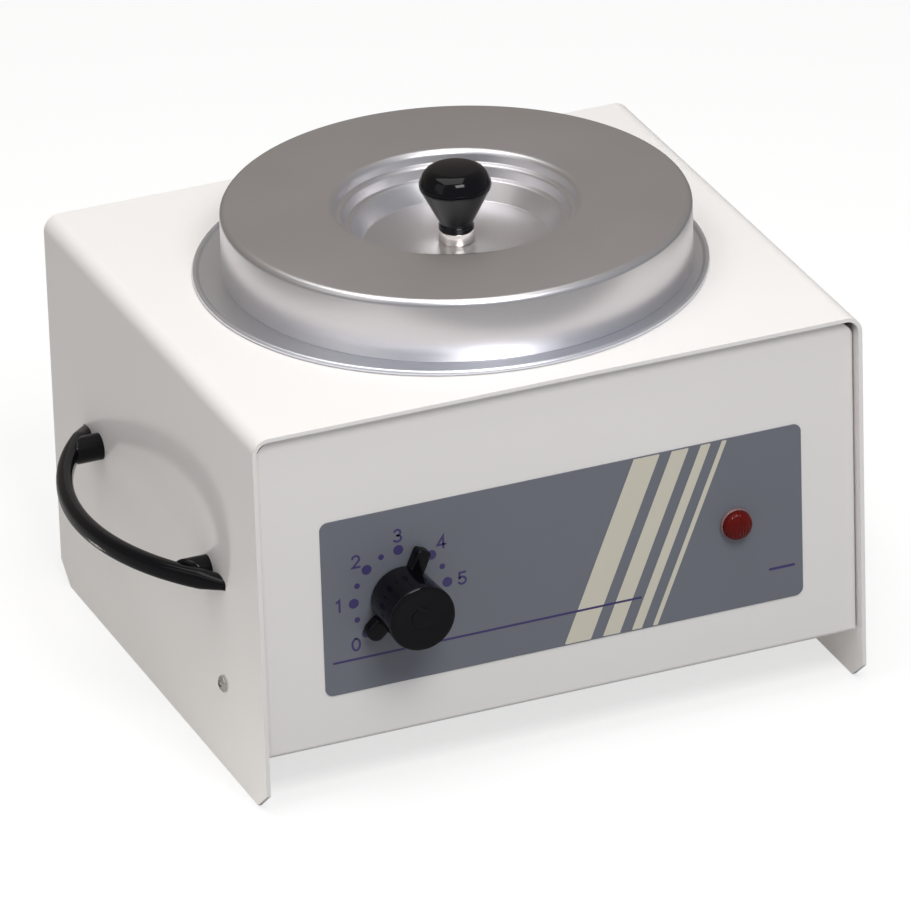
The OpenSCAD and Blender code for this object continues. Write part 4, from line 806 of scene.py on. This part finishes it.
def bow(count=161, around=40, power=2.7):
    """The swept bar. Ring i lies at angle t on the arc; its section is
    |u / a|^n + |v / b|^n = 1 with a half the thickness and b half the height, where b
    shrinks in a straight line beyond the bosses."""
    end = math.asin(HALF_LEN / ARC_R)
    t = np.linspace(-end, end, count)[:, None]
    angle = np.linspace(0, 2 * np.pi, around, endpoint=False)
    c, s = np.cos(angle), np.sin(angle)
    u = BAR_T / 2 * np.sign(c) * np.abs(c) ** (2 / power)
    v = BAR_H / 2 * np.sign(s) * np.abs(s) ** (2 / power)
    y_mid = (ARC_R - BAR_T / 2) * np.sin(t)
    beyond = (np.abs(y_mid) - TAPER_START) / (HALF_LEN - TAPER_START)
    taper = np.clip(1.0 - beyond * TAPER, 0.4, 1.0)
    radius = ARC_R - BAR_T / 2 + u
    x = np.maximum(ARC_X + radius * np.cos(t), WALL_X)
    return np.stack([x, radius * np.sin(t), v * taper], axis=-1)


def boss(end, rings=9, around=48):
    """A stub from the wall into the bar; its outer end is rounded, then follows the arc."""
    angle = np.linspace(0, 2 * np.pi, around, endpoint=False)
    edge = 2.0
    t = np.linspace(0, np.pi / 2, rings)
    shrink = np.concatenate([[0.0], edge - edge * np.cos(t)])
    y = end * BOSS_Y + (BOSS_R - shrink)[:, None] * np.cos(angle)
    z = (BOSS_R - shrink)[:, None] * np.sin(angle)
    surface = ARC_X + np.sqrt((ARC_R - BAR_T * BOSS_SINK) ** 2 - y ** 2)
    x = surface - edge + edge * np.concatenate([[0.0], np.sin(t)])[:, None]
    x[0] = WALL_X
    return np.stack([x, y, z], axis=-1)


def handle(side, name, node):
    """Bow and two bosses, placed on one side of the cover."""
    parts = []
    for points in (bow(), boss(-1), boss(1)):
        placed = points * (side, 1, 1) + (0, MID_Y, HANDLE_Z)
        parts.append(skin(placed, caps=True))
    piece(name, "housing", parts, black_gloss.material, (node,))


handle(-1, "handle_bow_left", "handle_left")
handle(1, "handle_bow_right", "handle_right")

# %% Heads of the cover's screws
softened("cover_screws", "cover_screw_heads", "housing",
         polished_steel.material, 0.12)

# %% [markdown]
# The faceplate is a thin film. Its print lies on it as very thin shapes: the dial's dots
# and figures, one violet line, a short dash, and plain slanted bands as decoration. Every
# figure is drawn from strokes: a line of points made into a band of even width.

# %% Faceplate and print
softened("faceplate", "faceplate_film", "housing", film_grey.material, 0.12)
FILM_Y = FACE_LOW[1]
PRINT_LIFT, PRINT_T = 0.02, 0.04


def printed(outline, lift=PRINT_LIFT):
    """A flat outline (x, z) as a thin closed plate just in front of the film."""
    outline = np.asarray(outline, float)
    rings = [np.column_stack([outline[:, 0], np.full(len(outline), y), outline[:, 1]])
             for y in (FILM_Y - lift + 0.01, FILM_Y - lift - PRINT_T)]
    return skin(np.stack(rings), caps=True)


def stroke(line, width, ends=5):
    """The outline of a pen line: both sides of the line, joined by round ends."""
    line = np.asarray(line, float)
    step = np.diff(line, axis=0)
    step /= np.linalg.norm(step, axis=1)[:, None]
    mean = np.concatenate([step[:1], (step[:-1] + step[1:]) / 2, step[-1:]])
    length = np.linalg.norm(mean, axis=1)[:, None]
    normal = np.stack([-mean[:, 1], mean[:, 0]], axis=1) / length ** 2
    side = normal * width / 2
    caps = []
    for at, way in ((line[-1], step[-1]), (line[0], -step[0])):
        t = math.atan2(way[1], way[0]) + np.linspace(np.pi / 2, -np.pi / 2, ends + 2)[1:-1]
        caps.append(at + width / 2 * np.stack([np.cos(t), np.sin(t)], axis=1))
    return np.concatenate([line + side, caps[0], (line - side)[::-1], caps[1]])


def bend(cx, cy, rx, ry, start, stop, count=14):
    """Points along a part of an ellipse, from one angle to another in degrees."""
    t = np.radians(np.linspace(start, stop, count))
    return [(cx + rx * math.cos(a), cy + ry * math.sin(a)) for a in t]


FIGURES = {
    0: [bend(2, 3, 1.7, 2.7, 90, 449, 30)],
    1: [[(1.0, 4.7), (2.3, 5.7), (2.3, 0.3)]],
    2: [bend(2, 4.1, 1.6, 1.6, 165, -30, 12) + [(0.5, 0.35), (3.7, 0.35)]],
    3: [bend(1.9, 4.35, 1.45, 1.35, 150, -90, 12), bend(1.9, 1.65, 1.7, 1.4, 90, -150, 14)],
    4: [[(3.0, 0.3), (3.0, 5.7), (0.3, 1.9), (4.0, 1.9)]],
    5: [[(3.5, 5.6), (0.9, 5.6), (0.75, 3.1)], bend(1.95, 1.9, 1.7, 1.65, 135, -150, 14)],
}


def figure(number, centre, height):
    """The strokes of one figure, drawn in a box 4 wide and 6 high, moved to its place."""
    scale = height / 6
    lines = FIGURES[number]
    return [stroke((np.array(line) - (2, 3)) * scale + centre, 0.95 * scale)
            for line in lines]


HALF_STEP, DOT_RING, FIGURE_RING, FIGURE_H = 21.8, 23.0, 30.3, 6.5
DOT_R, SMALL_DOT_R = 2.45, 1.4
dial_shapes = []
for half_step in range(11):
    angle = math.radians(POINTER_ANGLE - HALF_STEP * half_step)
    way = np.array([math.cos(angle), math.sin(angle)])
    whole = half_step % 2 == 0
    radius = DOT_R if whole else SMALL_DOT_R
    centre = np.array([DIAL_X, DIAL_Z]) + DOT_RING * way
    turn = np.linspace(0, 2 * np.pi, 36, endpoint=False)
    dial_shapes.append(printed(centre + radius * np.stack([np.cos(turn), np.sin(turn)], 1)))
    if whole:
        spot = np.array([DIAL_X, DIAL_Z]) + FIGURE_RING * way
        dial_shapes += [printed(o) for o in figure(half_step // 2, spot, FIGURE_H)]
LINE_Z = FACE_LOW[2] + 16.4
LEFT, RIGHT = FACE_LOW[0], FACE_HIGH[0]
for start, stop, pen in ((LEFT + 4.4, LEFT + 156.4, 1.1), (RIGHT - 16.6, RIGHT - 4.6, 1.3)):
    dial_shapes.append(printed(stroke([(start, LINE_Z), (stop, LINE_Z)], pen)))
piece("dial_print", "housing", dial_shapes, print_violet.material, sharp=20)


def band(start, width, low, high, lean):
    """A slanted band across the plate: a parallelogram with slightly soft corners."""
    slip = lean * (high - low)
    corners = [(start, low), (start + width, low), (start + width + slip, high),
               (start + slip, high)]
    return printed(rounded(corners, [0.4] * 4, closed=True, steps=3), PRINT_LIFT - 0.008)


BAND_LOW, BAND_HIGH = FACE_LOW[2] + 0.6, FACE_HIGH[2] - 0.6
BAND_START, BAND_LEAN = LEFT + 118, 0.42
BANDS = ((0, 13), (19, 8.5), (33.5, 5), (44, 2.5))
cream_bands = [band(BAND_START + shift, width, BAND_LOW, BAND_HIGH, BAND_LEAN)
               for shift, width in BANDS]
piece("plate_bands", "housing", cream_bands, print_cream.material, sharp=20)
